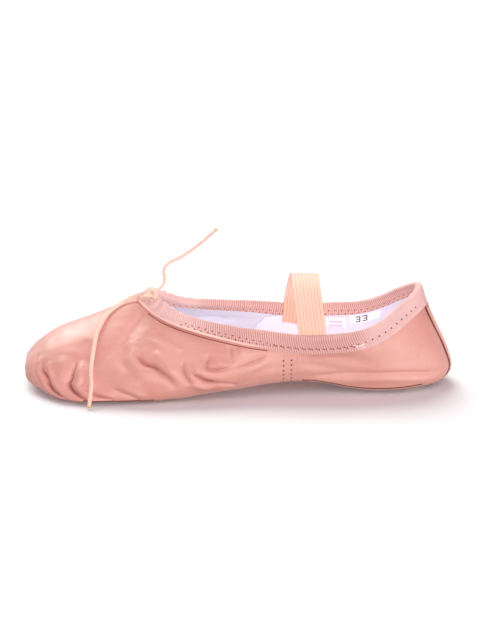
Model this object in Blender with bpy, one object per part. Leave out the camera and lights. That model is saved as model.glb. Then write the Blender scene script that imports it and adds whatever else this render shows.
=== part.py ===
"""A child's flat leather ballet slipper with a split sole, built as the shoe is: a leather upper in
three pieces with a back strip, a cotton lining, a bound topline with a drawstring in it, a sock
lining, two suede sole patches with a filler pad over each, an elastic strap and two labels.

Millimetres are used throughout and turned into metres when a mesh is made. The toe points to -X,
the heel to +X and the soles stand on z = 0."""

import math

import bpy
import numpy as np

MM = 0.001

# Layers of the wall, measured inwards from the outside of the leather.
LEATHER = 0.9
GAP = 0.3
TAPE_THICK = 0.3
LINING_THICK = 0.5
TAPE_AT = LEATHER + GAP
LINING_AT = TAPE_AT + TAPE_THICK + GAP
LINING_END = LINING_AT + LINING_THICK
SOCK_AT = LINING_END + 2 * GAP
SOCK_THICK = 0.7
LABEL_AT = LINING_END + GAP
LABEL_THICK = 0.3

# The binding: a folded tape with the drawstring in its fold.
BINDING_THICK = 0.6
CORD_DIAMETER = 2.0
BINDING_OUT = GAP + BINDING_THICK
BINDING_IN = LINING_END + GAP + BINDING_THICK
FOLD_RADIUS = (BINDING_OUT + BINDING_IN) / 2
FOLD_CENTRE = BINDING_IN - FOLD_RADIUS
OUTER_LEG = 9.0
INNER_LEG = 6.0
EDGE_DEPTH = FOLD_RADIUS + CORD_DIAMETER / 2 + GAP
SLIT_ANGLE = 0.27
SLIT_HALF_ANGLE = 0.11
BUTT_ANGLE = 2.08
BUTT_GAP = 0.006
COLUMNS_TO_SLIT = 34
COLUMNS_PAST_SLIT = 15
STRING_TURNED_OUT = (2.2, 1.1)

# The seams.
SEAM_X = 28.8
SEAM_GAP = 0.3
TAPE_FROM_SEAM = (-8.5, 4.5)
STRIP_HALF_WIDTH = 6.0
STRIP_THICK = 0.8
TAPE_ROWS = (2.6, 6.0)
STRIP_ROWS = (1.95, 6.0)
SOCK_ROWS = (0.0, 1.45)

# How far up the rings the lower edge of the upper lies where the sole covers it, and the shares
# of the way from the seam to the toe, and to the heel, over which it comes up to that.
MARGIN = 1.1
VAMP_SPLIT = (0.68, 0.9)
QUARTER_SPLIT = (0.12, 0.3)

# The knot, and the routes of the two tails of the drawstring. The tail that hangs down lies on
# the vamp at (angle, row, height above it) and then drops to the floor.
KNOT_SHIFT = -0.04
KNOT_DEPTH = 2.6
KNOT_LIFT = 3.5
KNOT_RADIUS = 1.05
KNOT_FLATTEN = 1.3
KNOT_CORD = 1.6
TAIL_SPACING = 3.4
TAIL_UP = ((-38.0, -6.3, 49.2), (-36.1, -4.7, 50.7), (-35.4, -3.0, 53.6), (-36.0, -1.5, 57.0),
           (-33.2, -0.4, 60.6), (-27.3, 0.0, 63.4), (-18.5, 0.0, 69.8), (-10.1, 0.0, 77.3))
TAIL_OVER_VAMP = ((0.298, 6.71, 2.6), (0.215, 6.56, 1.7), (0.22, 6.33, 1.5), (0.308, 6.07, 1.5),
                  (0.495, 5.67, 1.5), (0.65, 5.22, 1.5), (0.761, 4.63, 1.5), (0.83, 3.85, 1.6))
TAIL_TO_FLOOR = ((-69.8, -37.6, 9.8), (-70.7, -43.2, 1.3))

# The soles.
SOLE_THICK = 1.4
SOLE_TOP = SOLE_THICK + 0.4
FOREFOOT_SOLE = (-88.0, 4.0)
HEEL_SOLE = (41.6, 97.5)
SOLE_RINGS = (0.35, 0.7, 1.0)
PAD_BOTTOM = SOLE_THICK + 0.35
PAD_TOP = 4.0
FOREFOOT_PAD = (-84.0, -20.0, 18.0)
HEEL_PAD = (62.0, 88.0, 11.0)

# The strap, a flat elastic that arches from wall to wall.
STRAP_WIDTH = 13.5
STRAP_THICK = 0.8
STRAP_AT = BINDING_IN + GAP
STRAP_NEAR_X = 36.0
STRAP_FAR_X = 29.5
STRAP_TOP_X = 33.0
STRAP_TOP_Z = 54.1
STRAP_FOOT_Z = 32.1
STRAP_SEWN = 12.0
STRAP_START = 1.2

# The labels: heelward and toeward ends, and how far below the rim each starts and stops.
SIZE_LABEL = (56.5, 72.0, 6.4, 10.8)
SECOND_LABEL = (44.8, 54.5, 7.6, 13.4)

LAST_ROW = 7.0
SHARP_ANGLE = math.radians(40)

# The outside of the upper is a stack of eight closed rings, from the centreline of the sole up to
# the rim. Each has its toe end and heel end, how blunt those are, and its half width and height
# at shares of the way from toe to heel.
RINGS = (
    (-72, 84, 1.0, 1.0,
     ((0, 0), (1, 0)),
     ((0, 1.8), (0.35, 1.8), (0.52, 4.4), (0.66, 6.4), (0.76, 4.6), (0.85, 1.9), (1, 1.8))),
    (-86, 92, 0.7, 0.65,
     ((0, 27), (0.12, 28), (0.25, 23), (0.45, 17), (0.65, 11), (0.85, 15), (1, 16)),
     ((0, 1.8), (0.35, 1.8), (0.52, 3.9), (0.66, 6.0), (0.76, 4.0), (0.84, 1.9), (1, 1.8))),
    (-99.5, 100.6, 0.6, 0.5,
     ((0, 43), (0.06, 48), (0.12, 47.5), (0.2, 41.5), (0.33, 34), (0.5, 26), (0.63, 21),
      (0.75, 21), (0.87, 25), (1, 24.5)),
     ((0, 2.8), (0.12, 1.9), (0.35, 2.0), (0.5, 4.4), (0.64, 6.4), (0.7, 5.4), (0.77, 2.6),
      (0.86, 2.0), (1, 3.2))),
    (-105, 104.4, 0.65, 0.6,
     ((0, 42), (0.1, 43), (0.2, 42), (0.33, 38.5), (0.5, 31), (0.63, 25), (0.75, 25),
      (0.87, 28.5), (1, 28)),
     ((0, 9), (0.3, 8.6), (0.5, 10), (0.64, 11.5), (0.8, 9.5), (1, 9.5))),
    (-101.5, 101.5, 0.7, 0.65,
     ((0, 39), (0.2, 39.5), (0.33, 38), (0.5, 31.5), (0.63, 26.5), (0.75, 27), (0.87, 29.5),
      (1, 28.5)),
     ((0, 16), (0.1, 16), (0.3, 17), (0.5, 17), (0.64, 17), (0.8, 17.5), (1, 19.5))),
    (-90, 96.8, 0.75, 0.7,
     ((0, 32), (0.2, 32.5), (0.33, 32), (0.5, 29), (0.63, 27), (0.75, 28), (0.87, 30),
      (1, 28)),
     ((0, 25), (0.12, 24.3), (0.3, 24), (0.5, 22.5), (0.64, 22), (0.8, 24), (1, 29.5))),
    (-68, 92.5, 0.8, 0.75,
     ((0, 25), (0.2, 25.5), (0.35, 26.5), (0.5, 26), (0.63, 27), (0.75, 28.5), (0.87, 28.5),
      (1, 25.5)),
     ((0, 34.3), (0.2, 31), (0.35, 28.5), (0.5, 27), (0.64, 27), (0.8, 30), (1, 39.5))),
    (-41, 89.0, 0.85, 0.8,
     ((0, 18.5), (0.1, 18.5), (0.25, 21), (0.42, 24), (0.55, 26), (0.7, 29), (0.8, 27.5),
      (0.9, 23.5), (1, 20.5)),
     ((0, 46.5), (0.1, 39.5), (0.21, 36.2), (0.31, 34.8), (0.42, 33.5), (0.55, 31.7),
      (0.66, 31.4), (0.76, 33), (0.85, 37.5), (0.92, 43.5), (1, 50.0))),
)

# The joints: the arch flexes about a line across the seam, and the strap swings on its ends.
ARCH_HINGE = (SEAM_X, 0.0, 5.8)
STRAP_HINGE = ((STRAP_NEAR_X + STRAP_FAR_X) / 2, 0.0, STRAP_FOOT_Z)
HEEL_PIECES = ("quarter_near", "quarter_far", "quarter_lining_near", "quarter_lining_far",
               "side_seam_tape_near", "side_seam_tape_far", "back_strip", "heel_outsole",
               "heel_pad", "strap_end_near", "strap_end_far", "size_label", "second_label")

# How finely the way straight down from the rim is followed.
RIM_COUNT = 181
DESCENT = 0.25
DESCENT_STEPS = 60

COLOURS = {
    "leather": (0.80, 0.50, 0.44),
    "lining": (0.86, 0.84, 0.87),
    "suede": (0.36, 0.31, 0.29),
    "pad": (0.62, 0.56, 0.48),
    "sock": (0.84, 0.82, 0.86),
    "tape": (0.80, 0.62, 0.58),
    "binding": (0.78, 0.55, 0.52),
    "cord": (0.90, 0.74, 0.68),
    "elastic": (0.90, 0.68, 0.56),
    "label": (0.93, 0.92, 0.93),
}


def clear_scene():
    for obj in list(bpy.data.objects):
        bpy.data.objects.remove(obj)


def material_for(name, kind):
    material = bpy.data.materials.new(name)
    material.use_nodes = True
    shader = material.node_tree.nodes["Principled BSDF"]
    shader.inputs["Base Color"].default_value = (*COLOURS[kind], 1.0)
    shader.inputs["Roughness"].default_value = 0.7
    return material


def smooth_through(pairs, at):
    """A smooth curve through (position, value) pairs, read at these positions."""
    known = np.array(pairs, float)
    xs, ys = known[:, 0], known[:, 1]
    steps = np.diff(xs)
    slopes = np.diff(ys) / steps
    inner = (slopes[:-1] * steps[1:] + slopes[1:] * steps[:-1]) / (steps[:-1] + steps[1:])
    lean = np.concatenate([slopes[:1], inner, slopes[-1:]])
    at = np.clip(at, xs[0], xs[-1])
    i = np.clip(np.searchsorted(xs, at, side="right") - 1, 0, len(xs) - 2)
    step = steps[i]
    t = (at - xs[i]) / step
    rise = t * t * (3 - 2 * t)
    leave = t * (1 - t) ** 2 * step * lean[i]
    arrive = t * t * (t - 1) * step * lean[i + 1]
    return ys[i] * (1 - rise) + ys[i + 1] * rise + leave + arrive


def ring_points(ring, angle):
    toe, heel, toe_power, heel_power, widths, heights = ring
    share = (1 - np.cos(angle)) / 2
    power = toe_power + (heel_power - toe_power) * share
    side = np.sign(np.sin(angle)) * np.abs(np.sin(angle)) ** power
    x = toe + share * (heel - toe)
    y = -side * smooth_through(widths, share)
    return np.stack([x, y, smooth_through(heights, share)], axis=-1)


def between_rows(rows, row):
    """A smooth value at each fractional row of an array whose first axis is the row."""
    last = len(rows) - 1
    i = np.clip(np.floor(row).astype(int), 0, last - 1)
    t = (row - i)[..., None]

    def pick(j):
        index = np.clip(j, 0, last)[None, ..., None]
        return np.take_along_axis(rows, index, axis=0)[0]

    def lean(j):
        span = np.where((j == 0) | (j == last), 1.0, 2.0)[..., None]
        return (pick(j + 1) - pick(j - 1)) / span

    rise = t * t * (3 - 2 * t)
    ends = pick(i) * (1 - rise) + pick(i + 1) * rise
    return ends + t * (1 - t) ** 2 * lean(i) + t * t * (t - 1) * lean(i + 1)


def outside(angle, row):
    """The outside of the upper. Angle 0 is the toe, pi the heel; the near side lies between."""
    angle, row = np.broadcast_arrays(np.asarray(angle, float), np.asarray(row, float))
    points = between_rows(np.stack([ring_points(ring, angle) for ring in RINGS]), row)
    points[..., 2] = np.maximum(points[..., 2], SOLE_TOP)
    return points


def outward(angle, row):
    """The unit normal of the outside of the upper."""
    angle, row = np.broadcast_arrays(np.asarray(angle, float), np.asarray(row, float))
    step = 0.02
    row = np.maximum(row, 2 * step)
    up = outside(angle, np.minimum(row + step, LAST_ROW)) - outside(angle, row - step)
    along = outside(angle + step, row) - outside(angle - step, row)
    normal = np.cross(along, up)
    return normal / np.linalg.norm(normal, axis=-1, keepdims=True)


def inset(angle, row, depth):
    """A point this deep in the wall."""
    return outside(angle, row) - outward(angle, row) * np.asarray(depth)[..., None]


def angle_at(x, row):
    """The angle, on the near side, at which a row passes this x."""
    ends = np.array([ring[:2] for ring in RINGS], float)[:, None, :]
    row = np.atleast_1d(np.asarray(row, float))
    ends = np.broadcast_to(ends, (len(RINGS), len(row), 2))
    toe, heel = between_rows(ends, row).T
    return np.arccos(np.clip(1 - 2 * (x - toe) / (heel - toe), -1, 1))


def descents():
    """For rim angles from toe to heel, the angles and rows passed on the way straight down."""
    rim = np.linspace(0, math.pi, RIM_COUNT)
    angle = rim.copy()
    row = np.full(RIM_COUNT, LAST_ROW)
    step = 0.01
    ahead = outside(angle + step, row) - outside(angle - step, row)
    ahead /= np.linalg.norm(ahead, axis=-1, keepdims=True)
    passed = [(angle, row)]
    for _ in range(DESCENT_STEPS):
        along = (outside(angle + step, row) - outside(angle - step, row)) / (2 * step)
        down = (outside(angle, row) - outside(angle, row - step)) / step
        turn = (down * ahead).sum(-1) / (along * ahead).sum(-1)
        turn[[0, -1]] = 0.0
        move = np.linalg.norm(along * turn[:, None] - down, axis=-1)
        angle = np.clip(angle + turn * DESCENT / move, 0, math.pi)
        row = row - DESCENT / move
        passed.append((angle, row))
    return np.array(passed)


def below_rim(angle, depth):
    """The angle and row reached this far straight down the wall from a rim angle."""
    turn = 2 * math.pi
    angle = float(angle) % turn
    folded = min(angle, turn - angle)
    column = folded / math.pi * (RIM_COUNT - 1)
    left = min(int(column), RIM_COUNT - 2)
    share = column - left
    track = DESCENTS[:, :, left] * (1 - share) + DESCENTS[:, :, left + 1] * share
    at = np.arange(DESCENT_STEPS + 1) * DESCENT
    found = np.interp(depth, at, track[:, 0])
    rows = np.interp(depth, at, track[:, 1])
    return (found if angle <= math.pi else turn - found), rows


def edge_row(angle, depth):
    """The row at which an angle meets the line that runs this far below the rim."""
    at = np.arange(DESCENT_STEPS + 1) * DESCENT
    angles = [np.interp(depth, at, DESCENTS[:, 0, k]) for k in range(RIM_COUNT)]
    rows = [np.interp(depth, at, DESCENTS[:, 1, k]) for k in range(RIM_COUNT)]
    return float(np.interp(angle, angles, rows))


def smooth_step(value, low, high):
    t = np.clip((value - low) / (high - low), 0, 1)
    return t * t * (3 - 2 * t)


def add_mesh(name, kind, points, faces):
    mesh = bpy.data.meshes.new(name)
    mesh.from_pydata([tuple(p) for p in np.asarray(points) * MM], [], faces)
    mesh.materials.append(material_for(name, kind))
    mesh.shade_smooth()
    mesh.set_sharp_from_angle(angle=SHARP_ANGLE)
    obj = bpy.data.objects.new(name, mesh)
    bpy.context.scene.collection.objects.link(obj)
    return obj


def welded(outer, inner, faces):
    """Points of an open sheet that lie together made one."""
    seen = {}
    index = []
    kept = []
    for i, point in enumerate(np.round(outer, 4)):
        key = tuple(point + 0.0)
        if key not in seen:
            seen[key] = len(kept)
            kept.append(i)
        index.append(seen[key])
    sheet = []
    for face in faces:
        corners = [index[i] for i in face]
        corners = [c for n, c in enumerate(corners) if c != corners[n - 1]]
        if len(corners) > 2:
            sheet.append(corners)
    return outer[kept], inner[kept], sheet


def thick_sheet(name, kind, outer, inner, faces):
    """One closed body between two faces of a sheet, closed round every free edge."""
    outer, inner, faces = welded(outer, inner, faces)
    count = len(outer)
    edges = {(f[n - 1], f[n]) for f in faces for n in range(len(f))}
    solid = [list(f) for f in faces]
    solid += [[i + count for i in reversed(f)] for f in faces]
    solid += [[b, a, a + count, b + count] for a, b in sorted(edges) if (b, a) not in edges]
    return add_mesh(name, kind, np.concatenate([outer, inner]), solid)


def grid_faces(columns, rows, ring=False, skipped=(), turned=False):
    """The quads of a grid stored column by column, facing out of the shoe. Each is split along
    one diagonal, or along the other if turned, so that a mirrored piece is split alike."""
    faces = []
    for c in range(columns if ring else columns - 1):
        for r in range(rows - 1):
            if (c, r) in skipped:
                continue
            nxt = (c + 1) % columns
            quad = [c * rows + r, nxt * rows + r, nxt * rows + r + 1, c * rows + r + 1]
            faces.append(quad[1:] + quad[:1] if turned else quad)
    return faces


def wall_sheet(name, kind, angles, rows, start, thick, ring=False, keep_off=0.0):
    """A layer of the wall over a grid of angles and rows, kept off the centreline if asked."""
    columns, count = rows.shape
    sheets = []
    for depth in (start, start + thick):
        points = inset(angles, rows, np.full(rows.shape, depth)).reshape(-1, 3)
        if keep_off:
            side = -np.sign(np.sin(angles[columns // 2, 0]))
            points[:, 1] = side * np.maximum(side * points[:, 1], keep_off)
        sheets.append(points)
    turned = angles[columns // 2, 0] > math.pi + 0.1
    return thick_sheet(name, kind, *sheets, grid_faces(columns, count, ring, turned=turned))


def spread(count, power=1.0):
    return np.linspace(0, 1, count) ** power


def upper_grid(shares, count, low, end_x, depth, towards_heel):
    """Angles and rows of a piece that starts or ends at a side seam and stops below the rim."""
    rows_up = spread(count)
    low = np.asarray(low)[:, None]
    angles = np.zeros((len(shares), count))
    rows = np.zeros((len(shares), count))
    for c, share in enumerate(shares):
        row = low[c] + rows_up * (LAST_ROW - low[c])
        for _ in range(4):
            seam = angle_at(end_x, row)
            if towards_heel:
                angle = seam + abs(share) * (math.pi - seam)
            else:
                angle = seam * abs(share)
            top = edge_row(angle[-1], depth)
            row = low[c] + rows_up * (top - low[c])
        angles[c] = angle
        rows[c] = row
    return angles, rows


def vamp_layer(name, kind, columns, count, start, thick):
    shares = np.linspace(-1, 1, columns)
    low = MARGIN * (1 - smooth_step(np.abs(shares), *VAMP_SPLIT))
    end_x = SEAM_X - SEAM_GAP / 2
    angles, rows = upper_grid(shares, count, low, end_x, EDGE_DEPTH, False)
    angles = angles * np.sign(shares)[:, None]
    return wall_sheet(name, kind, angles, rows, start, thick)


def quarter_layer(name, kind, columns, count, start, thick, near):
    shares = 1 - spread(columns)[::-1] ** 1.4
    low = MARGIN * smooth_step(shares, *QUARTER_SPLIT)
    end_x = SEAM_X + SEAM_GAP / 2
    angles, rows = upper_grid(shares, count, low, end_x, EDGE_DEPTH, True)
    if not near:
        angles = (2 * math.pi - angles)[::-1]
        rows = rows[::-1]
    return wall_sheet(name, kind, angles, rows, start, thick, keep_off=SEAM_GAP / 2)


def seam_tape(name, near):
    rows = np.linspace(*TAPE_ROWS, 8)
    places = np.linspace(*TAPE_FROM_SEAM, 3) + SEAM_X
    angles = np.array([angle_at(x, rows) for x in places])
    rows = np.tile(rows, (3, 1))
    if not near:
        angles = (2 * math.pi - angles)[::-1]
    return wall_sheet(name, "tape", angles, rows, TAPE_AT, TAPE_THICK)


def back_strip():
    rows = np.linspace(*STRIP_ROWS, 13)
    offsets = np.linspace(-STRIP_HALF_WIDTH, STRIP_HALF_WIDTH, 7)
    angles = np.zeros((7, 13))
    for c, offset in enumerate(offsets):
        for r, row in enumerate(rows):
            tries = np.linspace(0, 0.8, 81)
            across = np.abs(outside(math.pi - tries, row)[:, 1])
            turn = np.interp(abs(offset), across, tries)
            angles[c, r] = math.pi + math.copysign(turn, offset)
    return wall_sheet("back_strip", "leather", angles, np.tile(rows, (7, 1)),
                      -GAP - STRIP_THICK, STRIP_THICK)


def sock_lining():
    angles = np.linspace(0, 2 * math.pi, 44, endpoint=False)
    rows = np.linspace(*SOCK_ROWS, 5)
    grid = np.meshgrid(angles, rows, indexing="ij")
    return wall_sheet("sock_lining", "sock", grid[0], grid[1], SOCK_AT, SOCK_THICK, ring=True)


def binding_angles():
    """Columns all round the rim, from one side of the butt join back to the other."""
    turn = 2 * math.pi
    slit = turn + SLIT_ANGLE
    marks = [BUTT_ANGLE + BUTT_GAP, slit - SLIT_HALF_ANGLE, slit + SLIT_HALF_ANGLE,
             turn + BUTT_ANGLE - BUTT_GAP]
    counts = (COLUMNS_TO_SLIT, 2, COLUMNS_PAST_SLIT)
    columns = []
    for start, end, count in zip(marks, marks[1:], counts):
        columns += list(np.linspace(start, end, count, endpoint=False))
    return np.array(columns + marks[-1:])


def fold_frame(angle):
    """The middle of the fold over a rim angle, and its outward and upward directions."""
    at, row = below_rim(angle, FOLD_RADIUS)
    over, higher = below_rim(angle, FOLD_RADIUS - 1.0)
    normal = outward(at, row)
    rise = outside(over, higher) - outside(at, row)
    rise -= normal * (rise @ normal)
    return inset(at, row, FOLD_CENTRE), normal, rise / np.linalg.norm(rise)


def topline_binding():
    angles = binding_angles()
    fold = np.linspace(0, math.pi, 7)
    outer_depths = np.linspace(OUTER_LEG, FOLD_RADIUS, 5)
    inner_depths = np.linspace(FOLD_RADIUS, INNER_LEG, 3)
    faces_of_tape = []
    for depth_out, depth_in, radius in (
        (-BINDING_OUT, BINDING_IN, FOLD_RADIUS),
        (-GAP, BINDING_IN - BINDING_THICK, FOLD_RADIUS - BINDING_THICK),
    ):
        columns = []
        for angle in angles:
            out_angles, out_rows = below_rim(angle, outer_depths)
            in_angles, in_rows = below_rim(angle, inner_depths)
            centre, normal, rise = fold_frame(angle)
            arc = [centre + radius * (math.cos(t) * normal + math.sin(t) * rise) for t in fold]
            down = inset(out_angles[:-1], out_rows[:-1], np.full(4, depth_out))
            back = inset(in_angles[1:], in_rows[1:], np.full(2, depth_in))
            columns.append(np.concatenate([down, arc, back]))
        faces_of_tape.append(np.concatenate(columns))
    slit = {(c, r) for c in (COLUMNS_TO_SLIT, COLUMNS_TO_SLIT + 1) for r in (3, 4, 5)}
    faces = grid_faces(len(angles), 13, skipped=slit)
    return thick_sheet("topline_binding", "binding", *faces_of_tape, faces)


def add_cord(name, kind, points, diameter):
    curve = bpy.data.curves.new(name, "CURVE")
    curve.dimensions = "3D"
    curve.bevel_depth = diameter / 2 * MM
    curve.bevel_resolution = 2
    curve.use_fill_caps = True
    spline = curve.splines.new("POLY")
    spline.points.add(len(points) - 1)
    for point, place in zip(spline.points, points):
        point.co = (*(np.asarray(place) * MM), 1.0)
    curve.materials.append(material_for(name, kind))
    obj = bpy.data.objects.new(name, curve)
    bpy.context.scene.collection.objects.link(obj)
    return obj


def route(points, spacing):
    """Evenly spaced points on a smooth curve through hand-chosen ones."""
    points = np.array(points, float)
    at = np.linspace(0, len(points) - 1, 40 * len(points))
    rows = np.broadcast_to(points[:, None, :], (len(points), len(at), 3))
    fine = between_rows(rows, at)
    along = np.concatenate([[0], np.cumsum(np.linalg.norm(np.diff(fine, axis=0), axis=1))])
    count = max(int(round(along[-1] / spacing)), 2)
    at = np.linspace(0, along[-1], count + 1)
    return np.stack([np.interp(at, along, fine[:, k]) for k in range(3)], axis=-1)


def drawstring():
    """The loop that lies in the fold, its two ends turned out through the slit at the throat."""
    start = SLIT_ANGLE + SLIT_HALF_ANGLE
    end = 2 * math.pi + SLIT_ANGLE - SLIT_HALF_ANGLE
    inside = [fold_frame(a)[0] for a in np.linspace(start, end, 58)]
    ends = []
    for side in (1, -1):
        angle = SLIT_ANGLE + side * SLIT_HALF_ANGLE / 2
        centre, normal, _ = fold_frame(angle)
        ends.append([centre + normal * d for d in STRING_TURNED_OUT])
    points = ends[0] + inside + ends[1][::-1]
    return add_cord("drawstring", "cord", points, CORD_DIAMETER)


def knot_frame():
    """The middle of the knot, which lies on the outer leg just below the slit."""
    at, row = below_rim(SLIT_ANGLE + KNOT_SHIFT, KNOT_DEPTH)
    normal = outward(at, row)
    over, higher = below_rim(SLIT_ANGLE + KNOT_SHIFT, KNOT_DEPTH - 1.0)
    rise = outside(over, higher) - outside(at, row)
    rise -= normal * (rise @ normal)
    rise /= np.linalg.norm(rise)
    return outside(at, row) + normal * KNOT_LIFT, normal, rise, np.cross(rise, normal)


def drawstring_knot():
    """A half knot drawn up tight: a trefoil of cord."""
    centre, normal, rise, across = knot_frame()
    points = []
    for t in np.linspace(0, 2 * math.pi, 36, endpoint=False)[:-1]:
        ring = KNOT_RADIUS * (2 + math.cos(3 * t))
        place = centre + normal * KNOT_FLATTEN * math.sin(3 * t)
        place = place + across * ring * math.cos(2 * t) + rise * ring * math.sin(2 * t)
        points.append(place)
    return add_cord("drawstring_knot", "cord", points, KNOT_CORD)


def drawstring_tails():
    add_cord("drawstring_tail_up", "cord", route(TAIL_UP, TAIL_SPACING), CORD_DIAMETER)
    down = [outside(a, r) + outward(a, r) * lift for a, r, lift in TAIL_OVER_VAMP]
    down += [np.array(place) for place in TAIL_TO_FLOOR]
    add_cord("drawstring_tail_down", "cord", route(down, TAIL_SPACING), CORD_DIAMETER)


def strap_end(name, centre_x, near):
    rows = np.linspace(0, 1, 5)
    places = np.linspace(-STRAP_WIDTH / 2, STRAP_WIDTH / 2, 5) + centre_x
    angles = np.zeros((5, 5))
    grid = np.zeros((5, 5))
    for c, x in enumerate(places):
        top = angle_at(x, LAST_ROW)[0]
        low_row = edge_row(top, STRAP_START + STRAP_SEWN)
        high_row = edge_row(top, STRAP_START)
        grid[c] = low_row + rows * (high_row - low_row)
        angles[c] = angle_at(x, grid[c])
    if not near:
        angles = (2 * math.pi - angles)[::-1]
        grid = grid[::-1]
    return wall_sheet(name, "elastic", angles, grid, STRAP_AT, STRAP_THICK)


def instep_strap():
    """The free arch of elastic, a band swept from the near wall over to the far one."""
    near_foot = inset(angle_at(STRAP_NEAR_X, LAST_ROW)[0], LAST_ROW, STRAP_AT + STRAP_THICK / 2)
    far_foot = inset(-angle_at(STRAP_FAR_X, LAST_ROW)[0], LAST_ROW, STRAP_AT + STRAP_THICK / 2)
    half_span = (far_foot[1] - near_foot[1]) / 2
    middle = (far_foot[1] + near_foot[1]) / 2
    rise = STRAP_TOP_Z - STRAP_FOOT_Z
    outer, inner = [], []
    for t in np.linspace(0, math.pi, 25):
        lean = -math.cos(t)
        foot_x = STRAP_NEAR_X if lean < 0 else STRAP_FAR_X
        bow = STRAP_TOP_X + (foot_x - STRAP_TOP_X) * (1 - math.sin(t))
        centre = np.array((bow, middle + half_span * lean, STRAP_FOOT_Z + rise * math.sin(t)))
        normal = np.array((0.0, lean / half_span, math.sin(t) / rise))
        normal *= STRAP_THICK / 2 / np.linalg.norm(normal)
        for across in (-STRAP_WIDTH / 2, STRAP_WIDTH / 2):
            place = centre + np.array((across, 0.0, 0.0))
            outer.append(place + normal)
            inner.append(place - normal)
    faces = grid_faces(25, 2)
    flipped = [list(reversed(f)) for f in faces]
    return thick_sheet("instep_strap", "elastic", np.array(outer), np.array(inner), flipped)


def inner_label(name, box):
    low_x, high_x, top, bottom = box
    places = np.linspace(low_x, high_x, 5)
    angles = np.zeros((5, 3))
    rows = np.zeros((5, 3))
    for c, x in enumerate(places):
        rim = angle_at(x, LAST_ROW)[0]
        rows[c] = np.linspace(edge_row(rim, bottom), edge_row(rim, top), 3)
        angles[c] = angle_at(x, rows[c])
    angles = (2 * math.pi - angles)[::-1]
    return wall_sheet(name, "label", angles, rows[::-1], LABEL_AT, LABEL_THICK)


def sole_height(x, y):
    """The height of the underside of the upper over this point of the floor."""
    rows = np.linspace(0, 3, 61)
    points = outside(angle_at(x, rows), rows)
    return float(np.interp(abs(y), -points[:, 1], points[:, 2]))


def sole_patch(name, outline):
    """A patch of suede of even thickness that follows the upper's underside."""
    centre = np.mean(outline, axis=0)
    grid = []
    for share in SOLE_RINGS:
        for x, y in centre + (np.array(outline) - centre) * share:
            grid.append((x, y, sole_height(x, y) - SOLE_TOP))
    count = len(outline)
    low = np.array(grid)
    high = low + np.array((0.0, 0.0, SOLE_THICK))
    faces = [list(range(count))]
    for r in range(len(SOLE_RINGS) - 1):
        for i in range(count):
            nxt = (i + 1) % count
            start = r * count
            faces.append([start + i, start + count + i, start + count + nxt, start + nxt])
    return thick_sheet(name, "suede", high, low, faces)


def slab(name, kind, outline, low, high):
    count = len(outline)
    top = [(x, y, high) for x, y in outline]
    bottom = [(x, y, low) for x, y in outline]
    faces = [list(range(count)), list(range(2 * count - 1, count - 1, -1))]
    faces += [[i, i + count, (i + 1) % count + count, (i + 1) % count] for i in range(count)]
    return add_mesh(name, kind, top + bottom, faces)


def oval(start, end, widths, power, count=44):
    """A plan outline from its toe end to its heel end, with its half widths on the way."""
    outline = []
    for angle in np.linspace(0, 2 * math.pi, count, endpoint=False):
        share = (1 - math.cos(angle)) / 2
        side = math.copysign(abs(math.sin(angle)) ** power, math.sin(angle))
        half = float(smooth_through(widths, np.array(share)))
        outline.append((start + share * (end - start), -side * half))
    return outline


def soles_and_pads():
    forefoot = ((0, 35), (0.14, 36.3), (0.29, 35), (0.41, 30.6), (0.54, 27.2), (0.74, 24.5),
                (0.9, 25), (1, 25))
    heel = ((0, 15.5), (0.3, 16.5), (0.7, 18.2), (1, 18.5))
    sole_patch("forefoot_outsole", oval(*FOREFOOT_SOLE, forefoot, 0.7))
    sole_patch("heel_outsole", oval(*HEEL_SOLE, heel, 0.6, 36))
    for name, (start, end, half) in (("forefoot_pad", FOREFOOT_PAD), ("heel_pad", HEEL_PAD)):
        outline = oval(start, end, ((0, half), (1, half * 0.8)), 0.9, 28)
        slab(name, "pad", outline, PAD_BOTTOM, PAD_TOP)


def hinge_empty(name, place, parent=None):
    """An empty on a joint's axis, to which the pieces that move on it are parented."""
    empty = bpy.data.objects.new(name, None)
    empty.location = [value * MM for value in place]
    if parent:
        empty.parent = parent
        empty.location = [(a - b) * MM for a, b in zip(place, ARCH_HINGE)]
    bpy.context.scene.collection.objects.link(empty)
    return empty


def hang(names, empty, place):
    for name in names:
        obj = bpy.data.objects[name]
        obj.parent = empty
        obj.location = [-value * MM for value in place]


DESCENTS = descents()


def build():
    clear_scene()
    vamp_layer("vamp", "leather", 39, 12, 0.0, LEATHER)
    vamp_layer("vamp_lining", "lining", 39, 12, LINING_AT, LINING_THICK)
    for side, near in (("near", True), ("far", False)):
        quarter_layer("quarter_" + side, "leather", 17, 11, 0.0, LEATHER, near)
        quarter_layer("quarter_lining_" + side, "lining", 17, 11, LINING_AT, LINING_THICK, near)
        seam_tape("side_seam_tape_" + side, near)
    back_strip()
    soles_and_pads()
    sock_lining()
    topline_binding()
    drawstring()
    drawstring_knot()
    drawstring_tails()
    instep_strap()
    strap_end("strap_end_near", STRAP_NEAR_X, True)
    strap_end("strap_end_far", STRAP_FAR_X, False)
    inner_label("size_label", SIZE_LABEL)
    inner_label("second_label", SECOND_LABEL)
    arch = hinge_empty("arch_hinge", ARCH_HINGE)
    hang(HEEL_PIECES, arch, ARCH_HINGE)
    hang(["instep_strap"], hinge_empty("strap_hinge", STRAP_HINGE, arch), STRAP_HINGE)


build()
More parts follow.
